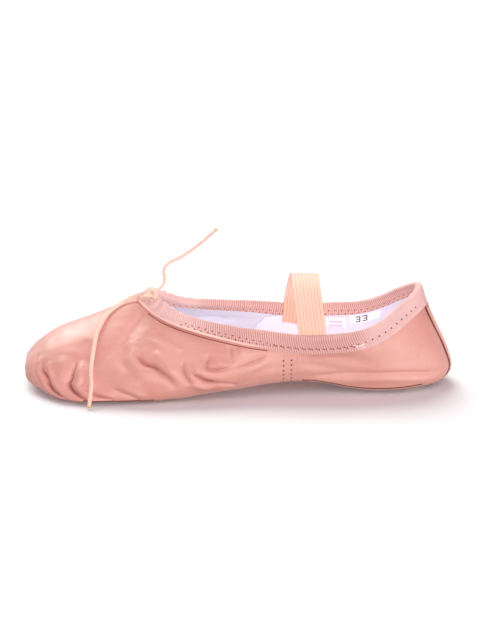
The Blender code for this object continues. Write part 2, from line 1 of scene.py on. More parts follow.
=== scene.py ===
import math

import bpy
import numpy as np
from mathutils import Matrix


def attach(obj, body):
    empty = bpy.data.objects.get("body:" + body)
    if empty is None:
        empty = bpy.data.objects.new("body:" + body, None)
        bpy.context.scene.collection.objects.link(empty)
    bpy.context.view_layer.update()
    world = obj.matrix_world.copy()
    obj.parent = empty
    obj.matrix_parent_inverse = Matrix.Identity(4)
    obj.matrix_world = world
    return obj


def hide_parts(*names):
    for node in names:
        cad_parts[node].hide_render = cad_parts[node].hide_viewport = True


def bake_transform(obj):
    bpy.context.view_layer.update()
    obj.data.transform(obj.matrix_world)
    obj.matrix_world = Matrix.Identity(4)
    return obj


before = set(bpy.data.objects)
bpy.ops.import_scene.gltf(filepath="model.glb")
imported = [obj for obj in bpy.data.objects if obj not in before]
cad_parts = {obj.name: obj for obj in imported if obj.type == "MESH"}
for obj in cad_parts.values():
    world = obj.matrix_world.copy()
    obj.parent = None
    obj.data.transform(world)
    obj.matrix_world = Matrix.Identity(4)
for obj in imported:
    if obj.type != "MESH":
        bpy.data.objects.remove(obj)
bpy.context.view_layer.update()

# A child's flat leather ballet slipper. Every piece is built here as a fine mesh over the same
# surface as the CAD part, in millimetres, and turned into metres when its mesh is made. The toe
# points to -X, the heel to +X, and the soles stand on z = 0.

MM = 0.001
TURN = 2 * math.pi

# Layers of the wall, measured inwards from the outside of the leather.
LEATHER = 0.9
LINING_TUCK = 5.5
TOE_CENTRE = -55.0
GAP = 0.3
TAPE_AT = 1.2
TAPE_THICK = 0.3
LINING_AT = 1.8
LINING_THICK = 0.5
LINING_END = 2.3
SOCK_AT = 2.9
SOCK_THICK = 0.7
LABEL_AT = 2.6
LABEL_THICK = 0.3
STRAP_AT = 3.5
STRAP_THICK = 0.8

# The binding and the drawstring in its fold.
TAPE = 0.6
BINDING_OUT = 0.9
BINDING_IN = 3.2
FOLD_RADIUS = 2.05
FOLD_CENTRE = 1.15
OUTER_LEG = 9.0
INNER_LEG = 6.0
EDGE_DEPTH = 3.35
CORD = 2.0
SLIT_ANGLE = 0.27
SLIT_HALF_ANGLE = 0.11
BUTT_ANGLE = 2.15
BUTT_GAP = 0.0015

# Seams, the strap and the labels.
SEAM_X = 28.8
SEAM_GAP = 0.3
SEAM_CLOSE = 0.04
SEAM_STITCHES = (-6.6, -2.8)
STITCH = 2.6
SEAM_TAPE = (-8.5, 4.5)
STRIP_HALF_WIDTH = 6.0
STRIP_THICK = 0.8
MARGIN = 1.1
STRAP_WIDTH = 13.5
STRAP_RIBS = 8
STRAP_NEAR_X = 36.0
STRAP_FAR_X = 29.5
STRAP_TOP_X = 33.0
STRAP_TOP_Z = 54.1
STRAP_FOOT_Z = 32.1
STRAP_SEWN = 12.0
STRAP_START = 1.2
SIZE_LABEL = (56.5, 72.0, 6.4, 10.8)
SECOND_LABEL = (44.8, 54.5, 7.6, 13.4)

# The soles: from toe end to heel end, with half widths at shares of the way.
SOLE_THICK = 1.4
SOLE_TOP = 1.8
FOREFOOT_SOLE = (-88.0, 4.0)
HEEL_SOLE = (41.6, 97.5)
FOREFOOT_WIDTHS = ((0, 35), (0.14, 36.3), (0.29, 35), (0.41, 30.6), (0.54, 27.2), (0.74, 24.5),
                   (0.9, 25), (1, 25))
HEEL_WIDTHS = ((0, 15.5), (0.3, 16.5), (0.7, 18.2), (1, 18.5))
SOLE_CHANNEL = 2.6
SOLE_STITCH = 3.0
PAD_BOTTOM = 1.75
PAD_TOP = 4.0
FOREFOOT_PAD = (-84.0, -20.0, 18.0)
HEEL_PAD = (62.0, 88.0, 11.0)

# The tails of the drawstring, as in the CAD part, and the knot.
TAIL_UP = ((-38.0, -6.3, 49.2), (-36.1, -4.7, 50.7), (-35.4, -3.0, 53.6), (-36.0, -1.5, 57.0),
           (-33.2, -0.4, 60.6), (-27.3, 0.0, 63.4), (-18.5, 0.0, 69.8), (-10.1, 0.0, 77.3))
TAIL_OVER_VAMP = ((0.21, 6.86, 3.6), (0.14, 6.76, 2.6), (0.09, 6.62, 2.0), (0.085, 6.47, 1.5),
                  (0.14, 6.30, 1.5), (0.24, 6.1, 1.5), (0.386, 5.85, 1.5), (0.553, 5.46, 1.5),
                  (0.69, 5.0, 1.5), (0.78, 4.4, 1.5), (0.83, 3.75, 1.6))
TAIL_TO_FLOOR = ((-69.8, -37.6, 9.8), (-70.7, -43.2, 1.3))
KNOT_SHIFT = -0.04
KNOT_DEPTH = 2.6
KNOT_LIFT = 3.5
KNOT_RADIUS = 1.05
KNOT_FLATTEN = 1.3
KNOT_CORD = 1.7
TAIL_UP_CORD = 1.6

# The front edge of the far lining's loose end: its x low down and at the rim.
FLAP_FRONT = (6.0, 13.5)
# The dark lines of painted shadow along the edges of the soles, as (x, row), and the angles
# between which the tape's lower edge has one.
FORE_LINE = ((-74, 2.12), (-62, 2.1), (-50, 2.14), (-40, 2.1))
HEEL_LINE = ((31.3, 2.3), (45, 2.26), (60, 2.22), (75, 2.22), (90, 2.3))
LIP_LINE = np.array((0.36, 1.44))
# Folds of the leather fade in between these depths below the rim.
BELOW_TAPE = (8.5, 13.0)

# The rim is the last row. Lines run straight down the wall from it, in short steps.
LAST_ROW = 7.0
RIM_COUNT = 181
DESCENT = 0.25
DESCENT_STEPS = 60

# The outside of the upper: eight closed rings from the centreline of the sole up to the rim, each
# with its toe end and heel end, how blunt those are, and half widths and heights by share.
RINGS = (
    (-72, 84, 1.0, 1.0,
     ((0, 0), (1, 0)),
     ((0, 1.8), (0.35, 1.8), (0.52, 4.4), (0.66, 6.4), (0.76, 4.6), (0.85, 1.9), (1, 1.8))),
    (-86, 92, 0.7, 0.65,
     ((0, 27), (0.12, 28), (0.25, 23), (0.45, 17), (0.65, 11), (0.85, 15), (1, 16)),
     ((0, 1.8), (0.35, 1.8), (0.52, 3.9), (0.66, 6.0), (0.76, 4.0), (0.84, 1.9), (1, 1.8))),
    (-99.5, 100.6, 0.6, 0.5,
     ((0, 43), (0.06, 48), (0.12, 47.5), (0.2, 41.5), (0.33, 34), (0.5, 26), (0.63, 21),
      (0.75, 21), (0.87, 25), (1, 24.5)),
     ((0, 2.8), (0.12, 1.9), (0.35, 2.0), (0.5, 4.4), (0.64, 6.4), (0.7, 5.4), (0.77, 2.6),
      (0.86, 2.0), (1, 3.2))),
    (-105, 104.4, 0.65, 0.6,
     ((0, 42), (0.1, 43), (0.2, 42), (0.33, 38.5), (0.5, 31), (0.63, 25), (0.75, 25),
      (0.87, 28.5), (1, 28)),
     ((0, 9), (0.3, 8.6), (0.5, 10), (0.64, 11.5), (0.8, 9.5), (1, 9.5))),
    (-101.5, 101.5, 0.7, 0.65,
     ((0, 39), (0.2, 39.5), (0.33, 38), (0.5, 31.5), (0.63, 26.5), (0.75, 27), (0.87, 29.5),
      (1, 28.5)),
     ((0, 16), (0.1, 16), (0.3, 17), (0.5, 17), (0.64, 17), (0.8, 17.5), (1, 19.5))),
    (-90, 96.8, 0.75, 0.7,
     ((0, 32), (0.2, 32.5), (0.33, 32), (0.5, 29), (0.63, 27), (0.75, 28), (0.87, 30),
      (1, 28)),
     ((0, 25), (0.12, 24.3), (0.3, 24), (0.5, 22.5), (0.64, 22), (0.8, 24), (1, 29.5))),
    (-68, 92.5, 0.8, 0.75,
     ((0, 25), (0.2, 25.5), (0.35, 26.5), (0.5, 26), (0.63, 27), (0.75, 28.5), (0.87, 28.5),
      (1, 25.5)),
     ((0, 34.3), (0.2, 31), (0.35, 28.5), (0.5, 27), (0.64, 27), (0.8, 30), (1, 39.5))),
    (-41, 89.0, 0.85, 0.8,
     ((0, 18.5), (0.1, 18.5), (0.25, 21), (0.42, 24), (0.55, 26), (0.7, 29), (0.8, 27.5),
      (0.9, 23.5), (1, 20.5)),
     ((0, 46.5), (0.1, 39.5), (0.21, 36.2), (0.31, 34.8), (0.42, 33.5), (0.55, 31.7),
      (0.66, 31.4), (0.76, 33), (0.85, 37.5), (0.92, 43.5), (1, 50.0))),
)

# Folds of the leather: height in mm (a crease is below nought), half width in mm, and the route
# over the near side in (angle, row). The far side has the same folds, a little shifted.
VAMP_FOLDS = (
    # Pleats round the toe, gathered in towards the sole: a crease, then the swell beside it.
    (-0.7, 1.4, ((0.20, 4.3), (0.29, 3.74), (0.363, 3.13), (0.42, 2.5), (0.46, 2.0))),
    (0.7, 1.8, ((0.29, 4.2), (0.37, 3.6), (0.43, 3.1), (0.47, 2.6), (0.50, 2.1))),
    (-2.6, 1.0, ((0.36, 4.0), (0.415, 3.59), (0.499, 3.23), (0.516, 2.86), (0.541, 2.62),
                 (0.585, 2.35), (0.63, 2.0))),
    (-0.9, 3.2, ((0.37, 4.2), (0.44, 3.6), (0.49, 3.2), (0.51, 2.8), (0.55, 2.4))),
    (1.5, 1.7, ((0.43, 4.1), (0.50, 3.6), (0.56, 3.2), (0.575, 2.86), (0.605, 2.6),
                (0.66, 2.3))),
    (1.0, 3.0, ((0.54, 4.5), (0.60, 3.8), (0.62, 3.1), (0.655, 2.6))),
    (-2.9, 1.0, ((0.65, 4.35), (0.677, 4.03), (0.70, 3.43), (0.69, 3.07), (0.713, 2.75),
                 (0.754, 2.5), (0.80, 2.1))),
    (-1.0, 3.2, ((0.64, 4.6), (0.665, 4.1), (0.68, 3.5), (0.675, 3.0), (0.70, 2.6))),
    (1.6, 1.7, ((0.70, 4.4), (0.735, 3.9), (0.76, 3.4), (0.75, 3.05), (0.775, 2.8),
                (0.82, 2.5))),
    (0.6, 3.0, ((0.76, 4.4), (0.80, 3.8), (0.83, 3.3), (0.86, 2.9))),
    (-1.6, 0.8, ((0.79, 2.95), (0.849, 2.62), (0.901, 2.44), (0.95, 2.2))),
    (0.9, 1.2, ((0.79, 3.2), (0.85, 2.88), (0.91, 2.68), (0.97, 2.5))),
    (-1.0, 0.8, ((0.96, 3.0), (1.02, 2.7), (1.063, 2.45), (1.09, 2.2))),
    (0.6, 1.4, ((0.99, 3.2), (1.06, 2.85), (1.11, 2.55), (1.14, 2.3))),
    (-1.3, 0.9, ((0.09, 3.1), (0.10, 2.6), (0.11, 2.1), (0.12, 1.6))),
    (0.8, 1.3, ((0.16, 3.0), (0.17, 2.5), (0.18, 2.0), (0.19, 1.6))),
    (-1.3, 0.9, ((0.25, 2.8), (0.27, 2.4), (0.29, 2.0), (0.30, 1.6))),
    # The soft wide folds of the vamp.
    (-0.9, 4.5, ((0.52, 5.3), (0.585, 5.05), (0.70, 4.5), (0.80, 3.9))),
    (-1.5, 2.6, ((0.33, 6.8), (0.45, 6.55), (0.543, 6.34), (0.65, 6.05), (0.731, 5.75),
                 (0.80, 5.3), (0.85, 4.6))),
    (0.9, 3.0, ((0.50, 6.75), (0.66, 6.4), (0.82, 5.95), (0.92, 5.3))),
    (-1.7, 3.2, ((0.76, 5.7), (0.82, 5.35), (0.882, 5.03), (0.941, 4.55), (1.008, 4.17),
                 (1.065, 3.85))),
    (1.2, 2.6, ((0.86, 5.5), (0.97, 4.95), (1.02, 4.5), (1.10, 4.0), (1.17, 3.4))),
    (-2.1, 2.0, ((0.99, 4.95), (1.033, 4.73), (1.094, 4.44), (1.169, 4.22), (1.255, 3.48),
                 (1.289, 2.89))),
    (1.4, 2.4, ((1.08, 5.05), (1.16, 4.7), (1.23, 4.2), (1.30, 3.5))),
    (-1.3, 2.0, ((0.832, 5.99), (0.977, 5.8), (1.136, 5.46), (1.22, 5.25))),
    (0.9, 2.4, ((0.90, 5.65), (1.05, 5.45), (1.18, 5.1))),
    (0.9, 3.5, ((0.95, 3.7), (1.03, 3.3), (1.12, 3.0))),
    # Sharper creases where the side of the vamp tucks in towards the arch.
    (-1.7, 1.5, ((1.285, 4.6), (1.31, 4.1), (1.345, 3.42), (1.36, 3.1))),
    (1.1, 1.7, ((1.34, 4.6), (1.38, 4.0), (1.39, 3.65))),
    (-2.3, 0.9, ((1.36, 3.75), (1.39, 3.59), (1.425, 3.32), (1.452, 3.19), (1.524, 2.83),
                 (1.57, 2.7))),
    (1.5, 2.0, ((1.35, 3.2), (1.41, 2.9), (1.47, 2.65))),
    (-1.6, 1.2, ((1.375, 5.05), (1.405, 4.67), (1.42, 4.2), (1.446, 3.96), (1.498, 3.93),
                 (1.545, 4.07))),
    (1.1, 1.9, ((1.44, 4.85), (1.47, 4.45), (1.52, 4.35))),
    (-1.3, 0.7, ((1.394, 5.75), (1.454, 5.43), (1.51, 4.85), (1.54, 4.19))),
    (0.8, 1.6, ((1.46, 5.7), (1.52, 5.4), (1.57, 4.85))),
    (-1.2, 1.2, ((1.535, 4.0), (1.62, 4.52), (1.681, 5.1))),
    (0.9, 2.4, ((1.57, 3.6), (1.66, 4.0), (1.72, 4.6))),
)
QUARTER_FOLDS = (
    (-1.1, 1.4, ((1.869, 2.54), (2.094, 3.08), (2.36, 3.24), (2.634, 3.07), (2.817, 2.99))),
    (0.8, 2.0, ((1.95, 2.3), (2.15, 2.7), (2.36, 2.85), (2.6, 2.7), (2.8, 2.65))),
    (-1.3, 6.0, ((1.85, 5.0), (1.98, 4.6), (2.138, 4.22), (2.30, 3.7))),
    (-0.7, 3.5, ((1.84, 4.2), (1.95, 3.7), (2.1, 3.35), (2.25, 3.3))),
    (0.5, 5.0, ((2.35, 5.0), (2.5, 4.6), (2.65, 4.2))),
)
LINING_FOLDS = (
    (-2.4, 1.4, ((1.27, 5.05), (1.36, 4.80), (1.46, 4.78), (1.55, 4.95))),
    (1.1, 2.2, ((1.28, 5.5), (1.40, 5.3), (1.52, 5.35))),
)
FAR_SHIFT = (0.96, 0.03)
FAR_SHARE = 0.8

# How finely each piece is built: columns along the shoe by rows up the wall.
VAMP_GRID = (401, 96)
QUARTER_GRID = (150, 90)
LINING_GRID = (161, 50)
QUARTER_LINING_GRID = (90, 45)
RIB_PITCH = 1.1
RIB_SLANT = 0.28
STITCH_DEPTH = 6.6
INNER_STITCH_DEPTH = 4.6
ZIGZAG = 1.65
SELVEDGE = 7.7
RIB_HEIGHT = 0.08
COLUMNS_PER_RIB = 4
# Past these places along the shoe the outer row of stitches is sunk and shows fewer holes.
THROAT_PLAIN = -26.0
BUTT_PLAIN = 60.0
HEEL_PLAIN = 84.0

CAMERA_DISTANCE = 1000.0
CAMERA_ELEVATION = math.radians(18)
CAMERA_TARGET = (1.2, 0.0, 31.0)
CAMERA_LENS = 114.36
CAMERA_SENSOR = 36.0

# Each sun: where it stands, its strength, its spread in degrees, its colour, and whether it
# casts shadows.
SKY = (0.34, 0.255, 0.31)
GROUND = (0.18, 0.10, 0.11)
SUNS = (
    ("key", (-0.35, 0.85, 1.0), 3.3, 46.0, (0.93, 1.0, 0.95), True),
    ("fill", (0.45, -0.75, 1.0), 0.62, 70.0, (1.0, 0.99, 0.98), True),
    ("front", (0.56, -1.0, 0.06), 2.4, 60.0, (1.0, 1.0, 1.0), False),
    ("toe", (-1.0, -0.5, 0.10), 0.78, 60.0, (1.0, 1.0, 1.0), False),
)


# ---------------------------------------------------------------- the surface of the upper

def smooth_through(pairs, at):
    """A smooth curve through (position, value) pairs, read at these positions."""
    known = np.array(pairs, float)
    xs, ys = known[:, 0], known[:, 1]
    steps = np.diff(xs)
    slopes = np.diff(ys) / steps
    inner = (slopes[:-1] * steps[1:] + slopes[1:] * steps[:-1]) / (steps[:-1] + steps[1:])
    lean = np.concatenate([slopes[:1], inner, slopes[-1:]])
    at = np.clip(at, xs[0], xs[-1])
    i = np.clip(np.searchsorted(xs, at, side="right") - 1, 0, len(xs) - 2)
    step = steps[i]
    t = (at - xs[i]) / step
    rise = t * t * (3 - 2 * t)
    leave = t * (1 - t) ** 2 * step * lean[i]
    arrive = t * t * (t - 1) * step * lean[i + 1]
    return ys[i] * (1 - rise) + ys[i + 1] * rise + leave + arrive


def smooth_step(value, low, high):
    """From 0 at low to 1 at high, smoothly. Low may be the greater."""
    t = np.clip((value - low) / (high - low), 0, 1)
    return t * t * (3 - 2 * t)


def unit(vectors):
    """The same vectors with a length of one."""
    return vectors / np.maximum(np.linalg.norm(vectors, axis=-1, keepdims=True), 1e-9)


def ring_points(ring, angle):
    """The points of one ring at these angles."""
    toe, heel, toe_power, heel_power, widths, heights = ring
    share = (1 - np.cos(angle)) / 2
    power = toe_power + (heel_power - toe_power) * share
    side = np.sign(np.sin(angle)) * np.abs(np.sin(angle)) ** power
    x = toe + share * (heel - toe)
    y = -side * smooth_through(widths, share)
    return np.stack([x, y, smooth_through(heights, share)], axis=-1)


def between_rows(rows, row):
    """A smooth value at each fractional row of an array whose first axis is the row."""
    last = len(rows) - 1
    i = np.clip(np.floor(row).astype(int), 0, last - 1)
    t = (row - i)[..., None]

    def pick(j):
        index = np.clip(j, 0, last)[None, ..., None]
        return np.take_along_axis(rows, index, axis=0)[0]

    def lean(j):
        span = np.where((j == 0) | (j == last), 1.0, 2.0)[..., None]
        return (pick(j + 1) - pick(j - 1)) / span

    rise = t * t * (3 - 2 * t)
    ends = pick(i) * (1 - rise) + pick(i + 1) * rise
    return ends + t * (1 - t) ** 2 * lean(i) + t * t * (t - 1) * lean(i + 1)


def outside(angle, row):
    """The outside of the upper. Angle 0 is the toe, pi the heel; the near side lies between."""
    angle, row = np.broadcast_arrays(np.asarray(angle, float), np.asarray(row, float))
    points = between_rows(np.stack([ring_points(ring, angle) for ring in RINGS]), row)
    points[..., 2] = np.maximum(points[..., 2], SOLE_TOP)
    return points


def outward(angle, row):
    """The unit normal of the outside of the upper."""
    angle, row = np.broadcast_arrays(np.asarray(angle, float), np.asarray(row, float))
    step = 0.02
    row = np.maximum(row, 2 * step)
    up = outside(angle, np.minimum(row + step, LAST_ROW)) - outside(angle, row - step)
    along = outside(angle + step, row) - outside(angle - step, row)
    return unit(np.cross(along, up))


def raised(angle, row, height):
    """Points this far outside the surface of the upper, or inside it below nought."""
    return outside(angle, row) + outward(angle, row) * np.asarray(height, float)[..., None]


def distances(points):
    """The distance along a path at each of its points."""
    steps = np.linalg.norm(np.diff(points, axis=0), axis=1)
    return np.concatenate([[0], np.cumsum(steps)])


def along_path(points, far, at):
    """The points of a path at these distances along it."""
    return np.stack([np.interp(at, far, points[:, k]) for k in range(3)], -1)


def folded(angle):
    """The angle from the toe, from -pi to pi: the near side is above nought."""
    return (np.asarray(angle) + math.pi) % TURN - math.pi


def curve_through(points, samples):
    """A smooth curve through given points."""
    points = np.array(points, float)
    at = np.linspace(0, len(points) - 1, samples * len(points))
    rows = np.broadcast_to(points[:, None, :], (len(points), len(at), points.shape[1]))
    return between_rows(rows, at)


def angle_at(x, row):
    """The angle, on the near side, at which a row passes this x."""
    x, row = np.broadcast_arrays(np.asarray(x, float), np.asarray(row, float))
    ends = np.array([ring[:2] for ring in RINGS], float)
    ends = np.broadcast_to(ends.reshape((len(RINGS),) + (1,) * row.ndim + (2,)),
                           (len(RINGS),) + row.shape + (2,))
    found = between_rows(ends, row)
    return np.arccos(np.clip(1 - 2 * (x - found[..., 0]) / (found[..., 1] - found[..., 0]), -1, 1))


def descents():
    """For rim angles from toe to heel, the angles and rows passed on the way straight down."""
    rim = np.linspace(0, math.pi, RIM_COUNT)
    angle = rim.copy()
    row = np.full(RIM_COUNT, LAST_ROW)
    step = 0.01
    ahead = unit(outside(angle + step, row) - outside(angle - step, row))
    passed = [(angle, row)]
    for _ in range(DESCENT_STEPS):
        along = (outside(angle + step, row) - outside(angle - step, row)) / (2 * step)
        down = (outside(angle, row) - outside(angle, row - step)) / step
        turn = (down * ahead).sum(-1) / (along * ahead).sum(-1)
        turn[[0, -1]] = 0.0
        move = np.linalg.norm(along * turn[:, None] - down, axis=-1)
        angle = np.clip(angle + turn * DESCENT / move, 0, math.pi)
        row = row - DESCENT / move
        passed.append((angle, row))
    return np.array(passed)


DESCENTS = descents()


def below_rim(angle, depth):
    """The angles and rows reached this far straight down the wall from rim angles."""
    angle, depth = np.broadcast_arrays(np.asarray(angle, float) % TURN, np.asarray(depth, float))
    column = np.minimum(angle, TURN - angle) / math.pi * (RIM_COUNT - 1)
    step = depth / DESCENT
    c = np.minimum(column.astype(int), RIM_COUNT - 2)
    s = np.minimum(step.astype(int), DESCENT_STEPS - 1)
    a, b = (column - c)[..., None], (step - s)[..., None]
    found = ((DESCENTS[s, :, c] * (1 - a) + DESCENTS[s, :, c + 1] * a) * (1 - b)
             + (DESCENTS[s + 1, :, c] * (1 - a) + DESCENTS[s + 1, :, c + 1] * a) * b)
    return np.where(angle <= math.pi, found[..., 0], TURN - found[..., 0]), found[..., 1]


def rise_at(angle, depth):
    """A place this far below the rim, with the wall's normal and the way up it there."""
    at, row = below_rim(angle, depth)
    over, higher = below_rim(angle, depth - 1.0)
    normal = outward(at, row)
    rise = outside(over, higher) - outside(at, row)
    return at, row, normal, unit(rise - normal * (rise * normal).sum(-1, keepdims=True))


def edge_row(angle, depth):
    """The rows at which angles from 0 to pi meet the line that runs this far below the rim."""
    angles, rows = below_rim(np.linspace(0, math.pi, RIM_COUNT), depth)
    return np.interp(angle, angles, rows)


def depth_at(angle, row):
    """How far below the rim a point of the wall lies, to the nearest mm."""
    steps = np.arange(0, DESCENT_STEPS * DESCENT, 1.0)
    rows = np.stack([edge_row(np.abs(folded(angle)), d) for d in steps])
    return (rows > row).sum(axis=0).astype(float)


# ---------------------------------------------------------------- folds

def fold_samples(route, mirrored):
    """Points on the surface along a fold's route, and its fading at both ends."""
    fine = curve_through(route, 9)
    if mirrored:
        fine = fine * (FAR_SHIFT[0], 1) + (FAR_SHIFT[1], 0)
        fine[:, 0] *= -1
    ends = np.sin(np.linspace(0, math.pi, len(fine))) ** 0.6
    return outside(fine[:, 0], fine[:, 1]), ends


def traced(folds, share=1.0, mirrored=False):
    """Each fold's height and width, with the points and end fades along its route."""
    return [(share * tall, width, *fold_samples(route, mirrored)) for tall, width, route in folds]


def add_folds(points, folds):
    """The height that traced folds add at these points of the surface."""
    height = np.zeros(points.shape[:-1])
    for tall, width, samples, ends in folds:
        reach = 3.0 * width
        low, high = samples.min(0) - reach, samples.max(0) + reach
        near = ((points > low) & (points < high)).all(axis=-1)
        if not near.any():
            continue
        apart = points[near][:, None, :] - samples[None]
        square = (apart ** 2).sum(-1)
        nearest = square.argmin(axis=1)
        away = np.sqrt(square[np.arange(len(square)), nearest]) / width
        shape = 1 / (1 + away ** 2) ** 2 if tall < 0 else np.exp(-away ** 2)
        height[near] += tall * ends[nearest] * shape
    return height


FOLDS = (traced(VAMP_FOLDS + QUARTER_FOLDS)
         + traced(VAMP_FOLDS + QUARTER_FOLDS, FAR_SHARE, mirrored=True))
INNER_FOLDS = traced(LINING_FOLDS, 1.0, mirrored=True)
# Only deep, narrow creases get painted shade, which darkens the leather's colour in them.
CREASES = [fold for fold in FOLDS if fold[0] < -1.45 and fold[1] < 2.3]


def ripple(points, seed, size):
    """A smooth random field, from about -1 to 1, of waves this many mm long."""
    rng, count = np.random.default_rng(seed), 14
    total = np.zeros(points.shape[:-1])
    for _ in range(count):
        way = rng.normal(size=3)
        way *= TURN / (size * rng.uniform(0.7, 1.6)) / np.linalg.norm(way)
        total += np.sin(points @ way + rng.uniform(0, TURN))
    return total / math.sqrt(count)


def beyond_sole(points):
    """How far each point lies outside the outline of the nearer sole patch, in plan."""
    x, y = points[..., 0], np.abs(points[..., 1])
    best = np.full(x.shape, 99.0)
    for (start, end), widths, power in ((FOREFOOT_SOLE, FOREFOOT_WIDTHS, 0.7),
                                        (HEEL_SOLE, HEEL_WIDTHS, 0.6)):
        share = np.clip((x - start) / (end - start), 0, 1)
        side = (2 * np.sqrt(share * (1 - share))) ** power
        over = np.maximum(start - x, x - end)
        outer = np.where(over > 0, np.hypot(over, np.maximum(y - 5.0, 0)),
                         y - side * smooth_through(widths, share))
        best = np.minimum(best, outer)
    return best


def relief(angle, row):
    """The height of the leather's folds over the smooth surface, outwards."""
    points = outside(angle, row)
    height = add_folds(points, FOLDS)
    slack = smooth_step(points[..., 0], 60, -10)
    height += (0.10 + 0.12 * slack) * ripple(points, 3, 22.0)
    height += (0.03 + 0.05 * slack) * ripple(points, 5, 7.0)
    height *= smooth_step(depth_at(angle, row), *BELOW_TAPE)
    height *= np.where(points[..., 2] < 9, smooth_step(beyond_sole(points), 0.0, 3.0), 1.0)
    at_seam = np.abs(points[..., 0] - SEAM_X)
    return height * (0.2 + 0.8 * smooth_step(at_seam, 0.5, 7.0))


# ---------------------------------------------------------------- meshes

def placed(name, data):
    """An object that holds this data, linked into the scene."""
    obj = bpy.data.objects.new(name, data)
    bpy.context.scene.collection.objects.link(obj)
    return obj


def new_object(name, points, faces, material, uv=None, crease=None):
    """A mesh object from points in mm and faces of three or four corners."""
    mesh = bpy.data.meshes.new(name)
    points = np.asarray(points, np.float32) * MM
    sizes = np.array([len(face) for face in faces], np.int32)
    corners = np.concatenate([np.asarray(face, np.int32) for face in faces])
    mesh.vertices.add(len(points))
    mesh.vertices.foreach_set("co", points.ravel())
    mesh.loops.add(len(corners))
    mesh.loops.foreach_set("vertex_index", corners)
    mesh.polygons.add(len(sizes))
    starts = (np.cumsum(sizes) - sizes).astype(np.int32)
    mesh.polygons.foreach_set("loop_start", starts)
    mesh.update(calc_edges=True)
    mesh.materials.append(MATERIALS[material])
    mesh.shade_smooth()
    if uv is not None:
        layer = mesh.uv_layers.new(name="cloth")
        layer.data.foreach_set("uv", np.asarray(uv, np.float32)[corners].ravel())
    # The crease attribute carries painted shade for the leather's colour.
    if crease is not None:
        depth = mesh.attributes.new("crease", "FLOAT", "POINT")
        depth.data.foreach_set("value", np.asarray(crease, np.float32))
    mesh.set_sharp_from_angle(angle=math.radians(50))
    return placed(name, mesh)


def grid_faces(columns, rows, ring=False):
    """The quads of a grid of points, which may close into a ring."""
    c, r = np.meshgrid(np.arange(columns if ring else columns - 1), np.arange(rows - 1),
                       indexing="ij")
    nxt = (c + 1) % columns
    quads = np.stack([c * rows + r, nxt * rows + r, nxt * rows + r + 1, c * rows + r + 1], -1)
    return quads.reshape(-1, 4)


def shell(name, outer, inner, material, ring=False, uv=None, crease=None):
    """One closed body between two grids of points, closed round its free edges."""
    columns, rows = outer.shape[:2]
    count = columns * rows
    front = grid_faces(columns, rows, ring)
    low = np.arange(columns) * rows
    edges = [(low, True), (low + rows - 1, False)]
    if not ring:
        up = np.arange(rows)
        edges += [(up, False), (up + (columns - 1) * rows, True)]
    faces = [front, front[:, ::-1] + count]
    for line, turned in edges:
        a, b = (line, np.roll(line, -1)) if ring else (line[:-1], line[1:])
        if turned:
            a, b = b, a
        faces.append(np.stack([a, b, b + count, a + count], -1))
    points = np.concatenate([outer.reshape(-1, 3), inner.reshape(-1, 3)])
    both = None if uv is None else np.concatenate([uv.reshape(-1, 2)] * 2)
    if crease is not None:
        crease = np.concatenate([crease.ravel()] * 2)
    return new_object(name, points, np.concatenate(faces), material, both, crease)


def lengths_uv(points):
    """Distances in mm along the columns and up the rows of a grid of points."""
    along = distances(points[:, points.shape[1] // 2])
    steps = np.linalg.norm(np.diff(points, axis=1), axis=-1)
    up = np.concatenate([np.zeros((len(points), 1)), np.cumsum(steps, axis=1)], axis=1)
    return np.stack([np.repeat(along[:, None], points.shape[1], 1), up], -1)


def tubes(name, paths, radius, material, sides=6, closed=False):
    """Round threads along paths, all in one mesh."""
    points, faces, uvs = [], [], []
    turns = TURN * np.arange(sides) / sides
    round_to = np.stack([np.cos(turns), np.sin(turns)])
    for path in paths:
        path = np.asarray(path, float)
        count = len(path)
        step = np.roll(path, -1, 0) - np.roll(path, 1, 0) if closed else np.gradient(path, axis=0)
        along = unit(step)
        side = np.zeros_like(path)
        last = np.array([0.3, 0.5, 0.8])
        for i in range(count):
            last = unit(last - along[i] * (last @ along[i]))
            side[i] = last
        ways = np.stack([side, np.cross(along, side)], -1) @ round_to
        start = sum(len(group) for group in uvs)
        points.append((path[:, :, None] + radius * ways).transpose(0, 2, 1).reshape(-1, 3))
        far = np.repeat(distances(path), sides)
        uvs.append(np.stack([far, np.tile(np.arange(sides) / sides, count)], -1))
        for i in range(count if closed else count - 1):
            here, nxt = start + i * sides, start + (i + 1) % count * sides
            for k in range(sides):
                up = (k + 1) % sides
                faces.append((here + k, here + up, nxt + up, nxt + k))
        if not closed:
            faces.append(tuple(start + k for k in reversed(range(sides))))
            faces.append(tuple(start + (count - 1) * sides + k for k in range(sides)))
    return new_object(name, np.concatenate(points), faces, material, np.concatenate(uvs))


def stitches(line, ways, pitch, lift):
    """Short threads along a line, each lifted by these heights the way that ways point."""
    far = distances(line)
    threads = []
    for i in range(int(far[-1] / pitch + 1e-6)):
        at = (i + np.linspace(0.1, 0.9, 5)) * pitch
        rise = along_path(ways, far, at) * np.array(lift)[:, None]
        threads.append(along_path(line, far, at) + rise)
    return threads


def pits(name, places, normals, radius, material):
    """Needle holes: small dark spots flush with the surface, each a shallow plug; their dark
    colour is painted shade in the hole.
    """
    points, faces, sides = [], [], 8
    for place, normal in zip(places, normals):
        side = unit(np.cross(normal, (0.31, 0.2, 0.93)))
        other = np.cross(normal, side)
        start = len(points)
        for k in range(sides):
            turn = TURN * k / sides
            points.append(place + radius * (side * math.cos(turn) + other * math.sin(turn)))
        points += [place + normal * 0.02, place - normal * 0.5]
        for k in range(sides):
            up = (k + 1) % sides
            faces.append((start + k, start + up, start + sides))
            faces.append((start + up, start + k, start + sides + 1))
    return new_object(name, points, faces, material)


